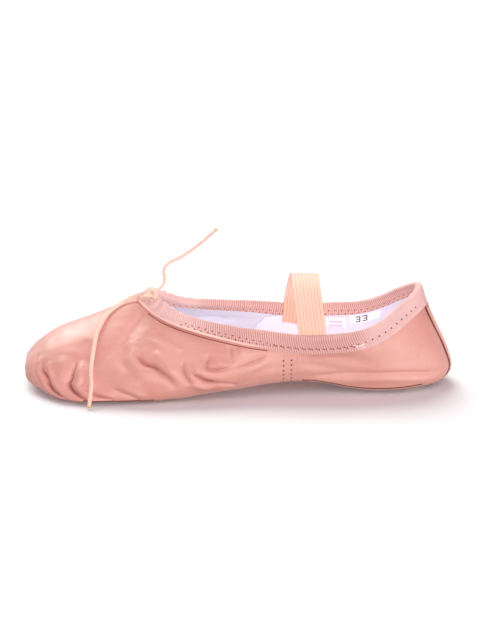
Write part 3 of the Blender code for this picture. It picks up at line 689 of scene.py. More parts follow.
def on_body(obj, body, slot, *nodes):
    """Gives a piece its body and hides the nodes of the CAD part that it replaces.
    The slot is not used.
    """
    if body == "arch":
        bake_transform(obj)
    else:
        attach(obj, body)
    if nodes:
        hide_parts(*nodes)


# ---------------------------------------------------------------- materials

WHITE = (1.0, 1.0, 1.0)


class Nodes:
    """Short ways to add nodes to a tree. A value is a socket, a number or a colour."""

    def __init__(self, tree):
        self.tree = tree

    def add(self, kind, inputs, **settings):
        node = self.tree.nodes.new("ShaderNode" + kind)
        for name, value in settings.items():
            setattr(node, name, value)
        for name, value in inputs.items():
            self.give(node.inputs[name], value)
        return node

    def give(self, socket, value):
        if isinstance(value, bpy.types.NodeSocket):
            self.tree.links.new(value, socket)
        else:
            socket.default_value = (*value, 1.0) if isinstance(value, tuple) else value

    def place(self, kind="Object"):
        return self.add("TexCoord", {}).outputs[kind]

    def split(self, vector):
        return self.add("SeparateXYZ", {0: vector}).outputs

    def noise(self, per_mm, detail=3.0, rough=0.5):
        return self.add("TexNoise", {"Vector": self.place(), "Scale": 1000 * per_mm,
                                     "Detail": detail, "Roughness": rough}).outputs["Fac"]

    def ramp(self, value, *stops):
        node = self.add("ValToRGB", {"Fac": value})
        elements = node.color_ramp.elements
        while len(elements) < len(stops):
            elements.new(0.5)
        for element, (place, colour) in zip(elements, stops):
            element.position = place
            element.color = (*colour, 1.0)
        return node.outputs["Color"]

    def bump(self, height, distance, strength, under=None):
        inputs = {"Height": height, "Distance": distance * MM, "Strength": strength}
        if under:
            inputs["Normal"] = under
        return self.add("Bump", inputs).outputs["Normal"]

    def mix(self, factor, first, second, how="MIX"):
        node = self.add("Mix", {}, data_type="RGBA", blend_type=how)
        colours = [socket for socket in node.inputs if socket.type == "RGBA"]
        for socket, value in zip((node.inputs["Factor"], *colours), (factor, first, second)):
            self.give(socket, value)
        return next(socket for socket in node.outputs if socket.type == "RGBA")

    def math(self, how, *values):
        return self.add("Math", dict(enumerate(values)), operation=how).outputs[0]

    def wave(self, value, per_mm):
        """A cosine from 0 to 1 of a distance in mm."""
        turned = self.math("COSINE", self.math("MULTIPLY", value, TURN * per_mm), 0.0)
        return self.math("MULTIPLY_ADD", turned, 0.5, 0.5)

    def between(self, value, low, high):
        """0 below low and 1 above high, smoothly."""
        inputs = {"Value": value, "From Min": low, "From Max": high}
        return self.add("MapRange", inputs, interpolation_type="SMOOTHSTEP").outputs["Result"]

    def toned(self, colour, per_mm, low):
        """A colour with slow patches of a darker tone."""
        tone = self.ramp(self.noise(per_mm), (0.3, low), (0.7, WHITE))
        return self.mix(1.0, colour, tone, "MULTIPLY")


def surface(name, roughness, sheen=0.3, specular=0.2):
    """A new material, its nodes, and the inputs of its shader."""
    material = bpy.data.materials.new(name)
    material.use_nodes = True
    inputs = material.node_tree.nodes["Principled BSDF"].inputs
    inputs["Roughness"].default_value = roughness
    inputs["Sheen Weight"].default_value = sheen
    inputs["Specular IOR Level"].default_value = specular
    return material, Nodes(material.node_tree), inputs


def leather_material(name, colour):
    """Soft grained leather: fine pebbling with pores, slow changes of tone, a faint sheen, and
    painted shade that darkens its colour in deep creases.
    """
    material, nodes, inputs = surface(name, 0.5, 0.45, 0.65)
    light, dark, deep = (tuple(c * s for c, s in zip(colour, scale)) for scale in (
        (1.04, 1.08, 1.08), (0.95, 0.90, 0.88), (0.52, 0.30, 0.28)))
    slow = nodes.ramp(nodes.noise(0.03, 2.0), (0.35, dark), (0.65, light))
    fine = nodes.ramp(nodes.noise(1.1, 4.0), (0.3, (0.95, 0.94, 0.94)), (0.6, WHITE))
    # Painted shade: the crease attribute mixes the colour towards a dark red-brown in deep
    # creases.
    crease_shade = nodes.add("Attribute", {}, attribute_name="crease").outputs["Fac"]
    plain = nodes.mix(1.0, slow, fine, "MULTIPLY")
    nodes.give(inputs["Base Color"], nodes.mix(crease_shade, plain, deep))
    cells = nodes.add("TexVoronoi", {}, feature="DISTANCE_TO_EDGE")
    nodes.give(cells.inputs["Scale"], 1300)
    nodes.give(cells.inputs["Vector"], nodes.place())
    grain = nodes.bump(cells.outputs["Distance"], 0.05, 0.35)
    nodes.give(inputs["Normal"], nodes.bump(nodes.noise(0.45), 0.10, 0.35, grain))
    nodes.give(inputs["Roughness"],
               nodes.ramp(nodes.noise(0.2), (0.3, (0.40,) * 3), (0.7, (0.52,) * 3)))
    nodes.give(inputs["Sheen Roughness"], 0.4)
    nodes.give(inputs["Sheen Tint"], (1.0, 0.90, 0.88))
    return material


def weave_material(name, colour, per_mm, contrast, roughness=0.85, sheen=0.3):
    """A plain weave over the cloth's own coordinates in mm, with so many threads per mm."""
    material, nodes, inputs = surface(name, roughness, sheen)
    cloth = nodes.split(nodes.place("UV"))
    woven = nodes.math("MULTIPLY", *(nodes.wave(way, per_mm) for way in cloth[:2]))
    dark = tuple(c * (1 - contrast) for c in colour)
    threads = nodes.ramp(woven, (0.0, dark), (0.5, colour))
    nodes.give(inputs["Base Color"], nodes.toned(threads, 0.06, (0.95, 0.94, 0.96)))
    fuzz = nodes.bump(nodes.noise(2.5, 2.0), 0.05, 0.4)
    nodes.give(inputs["Normal"], nodes.bump(woven, 0.08, 0.6, fuzz))
    return material


def grosgrain_material():
    """Ribbed tape: a rib every 1.1 mm across it with painted shade in the grooves between ribs,
    fine threads along each rib, a plain selvedge at its free edge, and a paler tone towards the
    throat and the heel."""
    material, nodes, inputs = surface("binding_grosgrain", 0.75, 0.3, 0.25)
    cloth, place = nodes.split(nodes.place("UV")), nodes.split(nodes.place())
    rib = nodes.wave(cloth[0], 1 / RIB_PITCH)
    # Painted shade: both tones are darker in the grooves between the ribs.
    deep = nodes.ramp(rib, (0.05, (0.56, 0.275, 0.235)), (0.6, (0.74, 0.42, 0.37)),
                      (0.95, (0.80, 0.49, 0.44)))
    pale = nodes.ramp(rib, (0.05, (0.76, 0.46, 0.42)), (0.6, (0.82, 0.53, 0.49)),
                      (0.95, (0.85, 0.57, 0.53)))
    heel = nodes.math("MULTIPLY", nodes.between(place[0], 0.056, 0.066),
                      nodes.between(cloth[1], 12.5, 11.0))
    throat = nodes.between(place[0], -0.010, -0.028)
    body = nodes.mix(nodes.math("MAXIMUM", heel, throat), deep, pale)
    edge = nodes.math("MULTIPLY", nodes.between(cloth[1], 1.45, 1.1),
                      nodes.between(place[0], 0.020, 0.004))
    body = nodes.mix(edge, body, (0.90, 0.60, 0.51))
    nodes.give(inputs["Base Color"], nodes.toned(body, 0.08, (0.92, 0.90, 0.90)))
    fine = nodes.bump(nodes.wave(cloth[1], 2.6), 0.04, 0.5)
    nodes.give(inputs["Normal"], nodes.bump(nodes.noise(2.0, 2.0), 0.05, 0.3, fine))
    return material


def elastic_material():
    """Knitted elastic: fine courses across ribs that are in the mesh, with painted shade in thin
    dark lines along the grooves and on the far leg.
    """
    material, nodes, inputs = surface("strap_elastic", 0.7, 0.3, 0.3)
    cloth = nodes.split(nodes.place("UV"))
    # Painted shade: thin dark lines in the grooves between the ribs.
    ribs = nodes.ramp(nodes.wave(cloth[0], STRAP_RIBS / STRAP_WIDTH),
                      (0.5, (0.92, 0.63, 0.49)), (0.86, (0.89, 0.585, 0.44)),
                      (0.985, (0.77, 0.42, 0.27)))
    tone = nodes.ramp(nodes.noise(0.12), (0.3, (0.96, 0.94, 0.93)), (0.7, WHITE))
    # Painted shade: the far leg, past 72 to 82 mm along the band, is darker.
    tone = nodes.mix(nodes.between(cloth[1], 72.0, 82.0), tone, (0.85, 0.75, 0.70))
    nodes.give(inputs["Base Color"], nodes.mix(1.0, ribs, tone, "MULTIPLY"))
    fine = nodes.bump(nodes.wave(cloth[1], 1.6), 0.05, 0.5)
    nodes.give(inputs["Normal"], nodes.bump(nodes.noise(2.2, 2.0), 0.04, 0.3, fine))
    return material


def suede_material():
    """Split suede: matt, mottled, with a nap that lies in patches."""
    material, nodes, inputs = surface("sole_suede", 0.95, 0.5, 0.1)
    patches = nodes.ramp(nodes.noise(0.10, 4.0, 0.6), (0.3, (0.24, 0.185, 0.165)),
                         (0.7, (0.37, 0.30, 0.265)))
    nap = nodes.ramp(nodes.noise(1.6, 4.0, 0.7), (0.25, (0.72,) * 3), (0.7, WHITE))
    nodes.give(inputs["Base Color"], nodes.mix(1.0, patches, nap, "MULTIPLY"))
    nodes.give(inputs["Normal"], nodes.bump(nodes.noise(2.0, 4.0, 0.7), 0.18, 0.7))
    return material


def soft_material(name, colour, roughness, grain, depth, sheen=0.3):
    """Thread, cord, felt and the like: a short soft pile with a little change of tone."""
    material, nodes, inputs = surface(name, roughness, sheen)
    dark = tuple(c * 0.86 for c in colour)
    tone = nodes.ramp(nodes.noise(0.5 * grain, 4.0, 0.6), (0.3, dark), (0.6, colour))
    nodes.give(inputs["Base Color"], tone)
    nodes.give(inputs["Normal"], nodes.bump(nodes.noise(grain), depth, 0.6))
    return material


def floor_material():
    """White paper, very slightly uneven."""
    material, nodes, inputs = surface("floor_paper", 0.8, 0.0, 0.5)
    tone = nodes.ramp(nodes.noise(0.004, 2.0), (0.3, (0.835, 0.84, 0.84)),
                      (0.7, (0.845, 0.85, 0.85)))
    nodes.give(inputs["Base Color"], tone)
    return material


MATERIALS = {
    "leather": leather_material("upper_leather", (0.70, 0.325, 0.265)),
    "strip": leather_material("back_strip_leather", (0.74, 0.40, 0.34)),
    "lining": weave_material("lining_cotton", (0.77, 0.725, 0.82), 0.9, 0.06),
    # Painted light: the flap is the lining's cotton, painted paler where its fold is lit.
    "flap": weave_material("lining_flap_cotton", (0.86, 0.83, 0.91), 0.9, 0.06),
    "sock": weave_material("sock_cotton", (0.76, 0.73, 0.79), 0.9, 0.04),
    "seam_tape": weave_material("seam_tape", (0.80, 0.62, 0.58), 1.2, 0.2),
    "binding": grosgrain_material(),
    "cord": soft_material("drawstring_cord", (0.87, 0.63, 0.51), 0.7, 1.8, 0.10),
    "tip": soft_material("cord_tip", (0.84, 0.55, 0.27), 0.6, 1.8, 0.10),
    "elastic": elastic_material(),
    "label": weave_material("label_satin", (0.97, 0.96, 0.98), 2.0, 0.04, 0.4, 0.2),
    "ink": soft_material("label_ink", (0.10, 0.085, 0.11), 0.6, 2.0, 0.02, 0.0),
    "pink": soft_material("label_pink", (0.90, 0.52, 0.64), 0.6, 2.0, 0.02, 0.0),
    "suede": suede_material(),
    "felt": soft_material("filler_felt", (0.62, 0.56, 0.48), 0.95, 1.2, 0.2),
    "thread": soft_material("thread", (0.80, 0.50, 0.44), 0.7, 3.0, 0.04),
    "pale_thread": soft_material("backtack_thread", (0.93, 0.76, 0.70), 0.6, 3.0, 0.04),
    "dark_thread": soft_material("seam_thread", (0.36, 0.15, 0.12), 0.8, 3.0, 0.04),
    # Painted shade: the dark of needle holes and of the dark lines in the gaps under the tape's
    # edge, beside the back strip and along the soles.
    "recess_shade": soft_material("painted_recess_shade", (0.17, 0.055, 0.045), 0.9, 3.0, 0.02, 0.0),
    "floor": floor_material(),
}


# ---------------------------------------------------------------- camera, light and floor

def camera_and_light():
    """The camera in front, a sky darker below than above, and the suns."""
    scene = bpy.context.scene
    scene.view_settings.view_transform = "Standard"
    camera = bpy.data.cameras.new("camera")
    camera.lens = CAMERA_LENS
    camera.sensor_width = CAMERA_SENSOR
    camera.clip_start = 0.05
    obj = placed("camera", camera)
    back = np.array((0.0, -math.cos(CAMERA_ELEVATION), math.sin(CAMERA_ELEVATION)))
    obj.location = (np.array(CAMERA_TARGET) + back * CAMERA_DISTANCE) * MM
    obj.rotation_euler = (math.pi / 2 - CAMERA_ELEVATION, 0.0, 0.0)
    scene.camera = obj

    scene.world = bpy.data.worlds.new("studio")
    scene.world.use_nodes = True
    nodes = Nodes(scene.world.node_tree)
    height = nodes.math("MULTIPLY_ADD", nodes.split(nodes.place("Generated"))[2], 0.5, 0.5)
    sky = nodes.ramp(height, (0.46, GROUND), (0.54, SKY))
    nodes.give(nodes.tree.nodes["Background"].inputs["Color"], sky)
    for name, way, strength, spread, colour, shadows in SUNS:
        light = bpy.data.lights.new(name, "SUN")
        light.energy = strength
        light.angle = math.radians(spread)
        light.color = colour
        light.use_shadow = shadows
        lamp = placed(name, light)
        lamp.location = np.array(way) * 0.8
        tilt = math.atan2(math.hypot(way[0], way[1]), way[2])
        lamp.rotation_euler = (tilt, 0.0, math.atan2(way[1], way[0]) + math.pi / 2)


def floor():
    """A paper ground, which throws no light back up on the slipper."""
    half = 6000.0
    corners = [(-half, -half, 0), (half, -half, 0), (half, half, 0), (-half, half, 0)]
    obj = new_object("floor", corners, [(0, 1, 2, 3)], "floor")
    obj.visible_diffuse = False


# ---------------------------------------------------------------- cords

def route(points, spacing):
    """Evenly spaced points on a smooth curve through given ones."""
    fine = curve_through(points, 40)
    far = distances(fine)
    count = max(int(round(far[-1] / spacing)), 2)
    return along_path(fine, far, np.linspace(0, far[-1], count + 1))


def cord_curve(name, points, diameter):
    """A round cord along these points."""
    curve = bpy.data.curves.new(name, "CURVE")
    curve.dimensions = "3D"
    curve.bevel_depth = diameter / 2 * MM
    curve.bevel_resolution = 4
    curve.use_fill_caps = True
    spline = curve.splines.new("POLY")
    spline.points.add(len(points) - 1)
    for point, place in zip(spline.points, points):
        point.co = (*(np.asarray(place) * MM), 1.0)
    curve.materials.append(MATERIALS["cord"])
    return placed(name, curve)


def cords():
    """The knot and the two free tails of the drawstring."""
    at, row, normal, rise = rise_at(SLIT_ANGLE + KNOT_SHIFT, KNOT_DEPTH)
    centre, across = raised(at, row, KNOT_LIFT), np.cross(rise, normal)
    knot = []
    for t in np.linspace(0, TURN, 72, endpoint=False):
        ring = KNOT_RADIUS * (2 + math.cos(3 * t))
        place = centre + normal * KNOT_FLATTEN * math.sin(3 * t)
        knot.append(place + across * ring * math.cos(2 * t) + rise * ring * math.sin(2 * t))
    knot = tubes("drawstring_knot_cord", [knot], KNOT_CORD / 2, "cord", 12, True)
    on_body(knot, "forefoot", "drawstring_cord", "drawstring_knot")

    up = route(TAIL_UP, 1.9)
    along = unit(up[1] - up[0])
    root = [centre + 0.35 * (up[0] - centre), up[0] - along * 0.9, up[0] + along * 0.2]
    root = tubes("drawstring_tail_root", [root], TAIL_UP_CORD / 2, "cord", 12)
    on_body(root, "forefoot", "drawstring_cord")
    over = [raised(angle, row, lift) for angle, row, lift in TAIL_OVER_VAMP]
    down = route(over + [np.array(place) for place in TAIL_TO_FLOOR], 2.3)
    for name, points, thick, lay, node in (
            ("tail_up", up, TAIL_UP_CORD, "loose", "drawstring_tail_up"),
            ("tail_down", down, CORD, "hanging", "drawstring_tail_down")):
        tail = cord_curve(name + "_cord", points, thick)
        on_body(tail, "forefoot", "drawstring_cord", node)
        along = unit(points[-1] - points[-2])
        tip = [points[-1] - along * 0.9, points[-1] + along * 0.15]
        tip = tubes(name + "_tip", [tip], thick / 2 + 0.06, "tip", 16)
        on_body(tip, "forefoot", "drawstring_cord")


# ---------------------------------------------------------------- the upper

def upper_grid(shares, count, low, seam_x, towards_heel):
    """Angles and rows of a piece that starts or ends at a side seam and stops below the rim."""
    up = np.linspace(0, 1, count)[None]
    low = np.asarray(low)[:, None]
    row = low + up * (LAST_ROW - low)
    share = np.abs(shares)[:, None]
    for _ in range(4):
        seam = angle_at(seam_x, row)
        angle = seam + share * (math.pi - seam) if towards_heel else seam * share
        top = edge_row(angle[:, -1], EDGE_DEPTH)[:, None]
        row = low + up * (top - low)
    return angle, row


def layer(name, angles, rows, start, thick, material, folds=1.0, keep_off=0.0, own=()):
    """A layer of the wall over a grid of angles and rows, with the leather's folds in it."""
    base = outside(angles, rows)
    normal = outward(angles, rows)
    height = folds * relief(angles, rows)
    if own:
        height = height + add_folds(base, own)
    # Painted shade: how deep the narrow creases are, kept on the mesh to darken the leather's
    # colour.
    crease = smooth_step(add_folds(base, CREASES), -0.2, -2.6)
    crease *= smooth_step(depth_at(angles, rows), *BELOW_TAPE)
    toe = smooth_step(base[..., 2], 19.0, 11.0) * smooth_step(base[..., 0], -32.0, -50.0)
    tuck = LINING_TUCK * toe * (start > 0)
    centre = base * (1, 1, 0) - (TOE_CENTRE, 0.0, 0.0)
    sides = []
    for depth in (start, start + thick):
        points = base + normal * (height - depth)[..., None] - unit(centre) * tuck[..., None]
        points[..., 2] = np.maximum(points[..., 2], SOLE_TOP - 0.35 + depth * 0.6)
        if keep_off:
            side = -np.sign(np.sin(angles[len(angles) // 2, 0]))
            points[..., 1] = side * np.maximum(side * points[..., 1], keep_off)
        sides.append(points)
    return shell(name, *sides, material, uv=lengths_uv(sides[0]), crease=crease)


def vamp_grid(columns, count):
    """Angles and rows over the vamp, from side seam to side seam round the toe."""
    shares = np.linspace(-1, 1, columns)
    shares = np.sign(shares) * np.abs(shares) ** 1.35
    low = MARGIN * (1 - smooth_step(np.abs(shares), 0.68, 0.9))
    angles, rows = upper_grid(shares, count, low, SEAM_X - SEAM_CLOSE, False)
    return angles * np.sign(shares)[:, None], rows


def quarter_grid(columns, count, near):
    """Angles and rows over one quarter, between its side seam and the heel."""
    shares = 1 - np.linspace(0, 1, columns)[::-1] ** 1.4
    low = MARGIN * smooth_step(shares, 0.12, 0.3)
    angles, rows = upper_grid(shares, count, low, SEAM_X + SEAM_CLOSE, True)
    return (angles, rows) if near else ((TURN - angles)[::-1], rows[::-1])


def uppers():
    """The leather vamp and quarters, and their cotton linings."""
    angles, rows = vamp_grid(*VAMP_GRID)
    vamp = layer("leather_vamp", angles, rows, 0.0, LEATHER, "leather")
    on_body(vamp, "arch", "upper_leather", "vamp")
    angles, rows = vamp_grid(*LINING_GRID)
    lining = layer("cotton_vamp_lining", angles, rows, LINING_AT, LINING_THICK, "lining", 0.8,
                   own=INNER_FOLDS)
    on_body(lining, "arch", "lining_cotton", "vamp_lining")
    for side, near in (("near", True), ("far", False)):
        angles, rows = quarter_grid(*QUARTER_GRID, near)
        quarter = layer("leather_quarter_" + side, angles, rows, 0.0, LEATHER, "leather",
                        keep_off=SEAM_GAP / 2)
        on_body(quarter, "heel", "upper_leather", "quarter_" + side)
        angles, rows = quarter_grid(*QUARTER_LINING_GRID, near)
        lining = layer("cotton_quarter_lining_" + side, angles, rows, LINING_AT, LINING_THICK,
                       "lining", 0.8, keep_off=SEAM_GAP / 2)
        on_body(lining, "heel", "lining_cotton", "quarter_lining_" + side)


# ---------------------------------------------------------------- the binding

def rim_length():
    """Rim angles all round, and the distance along the fold at each."""
    angles = np.linspace(0, TURN, 2881)
    at, row = below_rim(angles, FOLD_RADIUS)
    return angles, distances(outside(at, row))


RIM_ANGLES, RIM_ALONG = rim_length()
RIM_TOTAL = RIM_ALONG[-1]


def rim_along(angle):
    """The distance along the tape's fold at these angles."""
    turns = np.floor(np.asarray(angle) / TURN)
    return np.interp(angle - turns * TURN, RIM_ANGLES, RIM_ALONG) + turns * RIM_TOTAL


def rim_angle(along):
    """The angles at these distances along the tape's fold."""
    turns = np.floor(np.asarray(along) / RIM_TOTAL)
    return np.interp(along - turns * RIM_TOTAL, RIM_ALONG, RIM_ANGLES) + turns * TURN


def gather(angle):
    """How strongly the drawstring gathers the binding here: most at the throat."""
    return smooth_step(np.abs(folded(angle)), 1.0, 0.25)


def pucker(angle, depth):
    """Puckers across the gathered tape, as an outward height."""
    along = rim_along(angle)
    wave = np.sin(TURN * along / 5.3) + 0.6 * np.sin(TURN * along / 3.7 + 1.3)
    wave = wave - 0.9 * np.abs(np.sin(math.pi * along / 4.1)) ** 0.5 + 0.5
    slack = 0.05 * np.sin(TURN * along / 17.0) + 0.04 * np.sin(TURN * along / 9.3 + 0.7)
    return (0.30 * gather(angle) * wave + slack) * smooth_step(depth, 9.5, 3.0)


def free_edge(angle):
    """From 1 where the lower edge of the tape stands off the vamp to 0 where it lies flat."""
    at, row = below_rim(angle, OUTER_LEG)
    x = outside(at, row)[..., 0]
    return smooth_step(x, 22.0, 8.0)


def lip(angle, depth):
    """The lower edge of the tape stands off the vamp, and lies flat past the seam."""
    stand = free_edge(angle) * 0.5 + 0.05
    line = np.exp(-((depth - STITCH_DEPTH) / 0.6) ** 2)
    return stand * smooth_step(depth, 7.0, 8.8) - 0.26 * line


def tape_outside(angle, depth):
    """Points on the outer face of the tape's outer leg, with the way out of it."""
    at, row = below_rim(angle, depth)
    height = BINDING_OUT + pucker(angle, depth) + lip(angle, depth)
    return raised(at, row, height), outward(at, row)


def tape_inside(angle, depth):
    """Points on the inner face of the tape's inner leg, with the way in from it."""
    at, row = below_rim(angle, depth)
    return raised(at, row, -BINDING_IN), -outward(at, row)


def fold_frames(angle):
    """The middle of the tape's fold, with the wall's normal and the way up it there."""
    at, row, normal, rise = rise_at(angle, FOLD_RADIUS)
    return raised(at, row, -FOLD_CENTRE), normal, rise


def binding():
    """The tape folded over the rim, butted on the near side, its ribs in the mesh."""
    start = BUTT_ANGLE + BUTT_GAP
    end = TURN + BUTT_ANGLE - BUTT_GAP
    ribs = int(round((rim_along(end) - rim_along(start)) / RIB_PITCH))
    along = np.linspace(rim_along(start), rim_along(end), ribs * COLUMNS_PER_RIB + 1)
    outer_depths = np.concatenate([np.linspace(OUTER_LEG, 8.2, 4), np.linspace(7.8, 5.0, 9),
                                   np.linspace(4.3, 2.6, 4)])
    sides = []
    for face in (0, 1):  # the face that shows, then the one inside
        thick = TAPE * face
        rib = RIB_HEIGHT * (1 - face) * np.cos(TURN * (along - along[0]) / RIB_PITCH)
        rows = []
        for depth in outer_depths:
            angles = rim_angle(along + RIB_SLANT * (depth - FOLD_RADIUS))
            plain = free_edge(angles) if depth > SELVEDGE else 0.0
            height = BINDING_OUT - thick + pucker(angles, depth) + lip(angles, depth)
            rows.append(raised(*below_rim(angles, depth), height + rib * (1 - plain)))
        angles = rim_angle(along)
        centre, normal, rise = fold_frames(angles)
        for t in np.linspace(0, math.pi, 11):
            reach = FOLD_RADIUS - thick + rib + pucker(angles, FOLD_RADIUS) * math.cos(t / 2)
            rows.append(centre + reach[:, None] * (math.cos(t) * normal + math.sin(t) * rise))
        for depth in np.linspace(2.8, INNER_LEG, 7):
            rows.append(raised(*below_rim(angles, depth), thick - BINDING_IN - rib))
        sides.append(np.stack(rows, axis=1))
    uv = np.zeros(sides[0].shape[:2] + (2,))
    uv[..., 0] = (along - along[0])[:, None]
    uv[..., 1] = lengths_uv(sides[0])[len(along) // 2, :, 1][None]
    tape = shell("grosgrain_binding", *sides, "binding", uv=uv)
    on_body(tape, "arch", "binding_grosgrain", "topline_binding")


def drawstring():
    """The cord inside the tape's fold, which comes out at the slit in the throat."""
    start = SLIT_ANGLE + SLIT_HALF_ANGLE
    end = TURN + SLIT_ANGLE - SLIT_HALF_ANGLE
    inside = list(fold_frames(np.linspace(start, end, 220))[0])
    ends = []
    for side in (1, -1):
        angle = np.array([SLIT_ANGLE + side * SLIT_HALF_ANGLE / 2])
        centre, normal, _ = fold_frames(angle)
        ends.append([centre[0] + normal[0] * d for d in (2.2, 1.1)])
    path = ends[0] + inside + ends[1][::-1]
    string = tubes("drawstring_in_fold", [path], CORD / 2, "cord", 10)
    on_body(string, "arch", "drawstring_cord", "drawstring")


def zigzag():
    """The binding's zigzag stitching, outside and inside, with its needle holes, and a dark line
    of painted shadow under the tape's lower edge.
    """
    pitch = RIM_TOTAL / round(RIM_TOTAL / ZIGZAG)
    threads, dark, holes, normals = [], [], [], []
    for place, middle, half in ((tape_outside, STITCH_DEPTH, 0.75),
                                (tape_inside, INNER_STITCH_DEPTH, 0.65)):
        for i in range(round(RIM_TOTAL / pitch)):
            along = (i + np.linspace(0, 1, 5)) * pitch
            angles = rim_angle(along)
            x = float(outside(angles[0], LAST_ROW)[0])
            near = angles[0] < math.pi and place is tape_outside
            tight = smooth_step(x, 10, 20) * smooth_step(x, 60, 48) if near else 0.0
            swing = half * (1 - 0.75 * tight)
            depth = middle + (swing if i % 2 else -swing) * np.linspace(-1, 1, 5)
            lift = np.array([-0.05, 0.20, 0.26, 0.20, -0.05])
            points, around = place(angles, depth)
            plain = place is tape_outside and (x > BUTT_PLAIN or x < THROAT_PLAIN)
            if plain:
                lift = lift - 0.12
            (dark if tight > 0.5 and i % 2 else threads).append(points + around * lift[:, None])
            if not plain or (i % 2 and THROAT_PLAIN < x < HEEL_PLAIN):
                holes.append(points[0] + around[0] * 0.12)
                normals.append(around[0])
    sewn = tubes("binding_stitches", threads, 0.16, "thread", 5)
    on_body(sewn, "arch", "binding_grosgrain")
    # Painted shadow: a dark line where the tape's lower edge stands off the vamp.
    below = rim_angle(np.linspace(*rim_along(LIP_LINE), 160))
    at, row = below_rim(below, OUTER_LEG + 0.3 + 0.6 * free_edge(below))
    seam = tubes("binding_edge_shadow_line", [raised(at, row, 0.06)], 0.2, "recess_shade")
    on_body(seam, "arch", "binding_grosgrain")
    sewn = tubes("binding_stitches_dark", dark, 0.2, "dark_thread", 5)
    on_body(sewn, "arch", "binding_grosgrain")
    spots = pits("binding_needle_holes", holes, normals, 0.42, "recess_shade")
    on_body(spots, "arch", "binding_grosgrain")


def backtack():
    """Short crossed stitches that end the binding's seam at its join."""
    threads = []
    start = rim_along(BUTT_ANGLE - 0.02)
    for first, last in (((-4.2, 5.9), (0.6, 7.6)), ((-4.0, 7.6), (0.8, 6.1)),
                        ((-3.4, 6.8), (1.2, 6.9)), ((-2.6, 8.0), (0.9, 8.2))):
        share = np.linspace(0, 1, 6)
        along = start + first[0] + (last[0] - first[0]) * share
        depth = first[1] + (last[1] - first[1]) * share
        points, around = tape_outside(rim_angle(along), depth)
        lift = np.array([-0.1, 0.25, 0.33, 0.33, 0.25, -0.1])
        threads.append(points + around * lift[:, None])
    sewn = tubes("binding_backtack", threads, 0.2, "pale_thread", 5)
    on_body(sewn, "arch", "binding_grosgrain")


# ---------------------------------------------------------------- seams

def seam_rows():
    """Two rows of lockstitch down each side seam, sunk between their needle holes."""
    threads, holes, normals = [], [], []
    for sign in (1, -1):
        for offset in SEAM_STITCHES:
            rows = np.linspace(2.2, 5.9, 200)
            angle = angle_at(SEAM_X + offset, rows)
            keep = depth_at(angle, rows) > OUTER_LEG
            rows, angle = rows[keep], angle[keep] * sign
            points = outside(angle, rows)
            far = distances(points)
            count = int(far[-1] / STITCH)
            for shares, lift, into in (((0.0,), (0.05,), holes),
                                       (np.linspace(0.12, 0.88, 5),
                                        (-0.05, 0.06, 0.09, 0.06, -0.05), threads)):
                at = np.interp((np.arange(count)[:, None] + shares) * STITCH, far, rows)
                turn = angle_at(SEAM_X + offset, at) * sign
                around = outward(turn, at)
                high = relief(turn, at) + np.array(lift)
                into += list(outside(turn, at) + around * high[..., None])
                if into is holes:
                    normals += list(around[:, 0])
    sewn = tubes("side_seam_stitches", threads, 0.13, "leather", 5)
    on_body(sewn, "arch", "upper_leather")
    dark = pits("side_seam_needle_holes", [h[0] for h in holes], normals, 0.46, "recess_shade")
    on_body(dark, "arch", "upper_leather")


def wall_patch(name, angles, rows, start, thick, material):
    """A patch of the wall between two depths."""
    outer, inner = (raised(angles, rows, -np.asarray(depth)) for depth in (start, start + thick))
    return shell(name, outer, inner, material, uv=lengths_uv(outer))


def seam_tapes():
    """A tape behind each side seam, between the leather and the lining."""
    for side, sign in (("near", 1), ("far", -1)):
        rows = np.tile(np.linspace(2.6, 6.0, 30), (12, 1))
        places = np.linspace(*SEAM_TAPE, 12) + SEAM_X
        angles = angle_at(places[:, None], rows)
        if sign < 0:
            angles = (TURN - angles)[::-1]
        tape = wall_patch("seam_tape_" + side, angles, rows, TAPE_AT, TAPE_THICK, "seam_tape")
        on_body(tape, "arch", "seam_tape", "side_seam_tape_" + side)


def heel_angles(rows, offsets):
    """The angles at which rows pass these distances from the middle of the heel's back."""
    tries = np.linspace(0, 0.8, 161)
    turns = [np.interp(np.abs(offsets), np.abs(outside(math.pi - tries, row)[:, 1]), tries)
             for row in rows]
    return math.pi + np.copysign(np.array(turns).T, np.asarray(offsets)[:, None])


def back_strip():
    """The leather strip over the back of the heel, with a row of stitches each side."""
    count = 25
    rows = np.linspace(1.95, 6.0, 80)
    offsets = np.linspace(-STRIP_HALF_WIDTH, STRIP_HALF_WIDTH, count)
    angles = heel_angles(rows, offsets)
    rows = np.tile(rows, (count, 1))
    edge = smooth_step(np.abs(offsets) / STRIP_HALF_WIDTH, 0.75, 1.0)
    thick = STRIP_THICK - 0.35 * edge[:, None] + 0 * rows
    strip = wall_patch("leather_back_strip", angles, rows, -GAP - thick, thick, "strip")
    on_body(strip, "heel", "upper_leather", "back_strip")
    threads = []
    for c in (3, 21):
        line = raised(angles[c], rows[c], GAP + thick[c] + 0.02)
        threads += stitches(line, outward(angles[c], rows[c]), STITCH,
                            (-0.12, 0.06, 0.1, 0.06, -0.12))
    on_body(tubes("back_strip_stitches", threads, 0.14, "thread", 5), "heel", "upper_leather")


# ---------------------------------------------------------------- inside

def sock_lining():
    """The cotton that covers the inside of the sole."""
    angles = np.linspace(0, TURN, 240, endpoint=False)
    angle, row = np.meshgrid(angles, np.linspace(0, 1.45, 40), indexing="ij")
    base, normal = outside(angle, row), outward(angle, row)
    normal[:, 0, 1] = 0.0  # both sides meet along the middle of the sole
    thick = SOCK_THICK + 0.12 * ripple(base, 11, 18.0)
    outer, inner = (base - normal * depth for depth in (SOCK_AT, (SOCK_AT + thick)[..., None]))
    sock = shell("cotton_sock_lining", outer, inner, "sock", ring=True, uv=base[..., :2].copy())
    on_body(sock, "arch", "sock_cotton", "sock_lining")


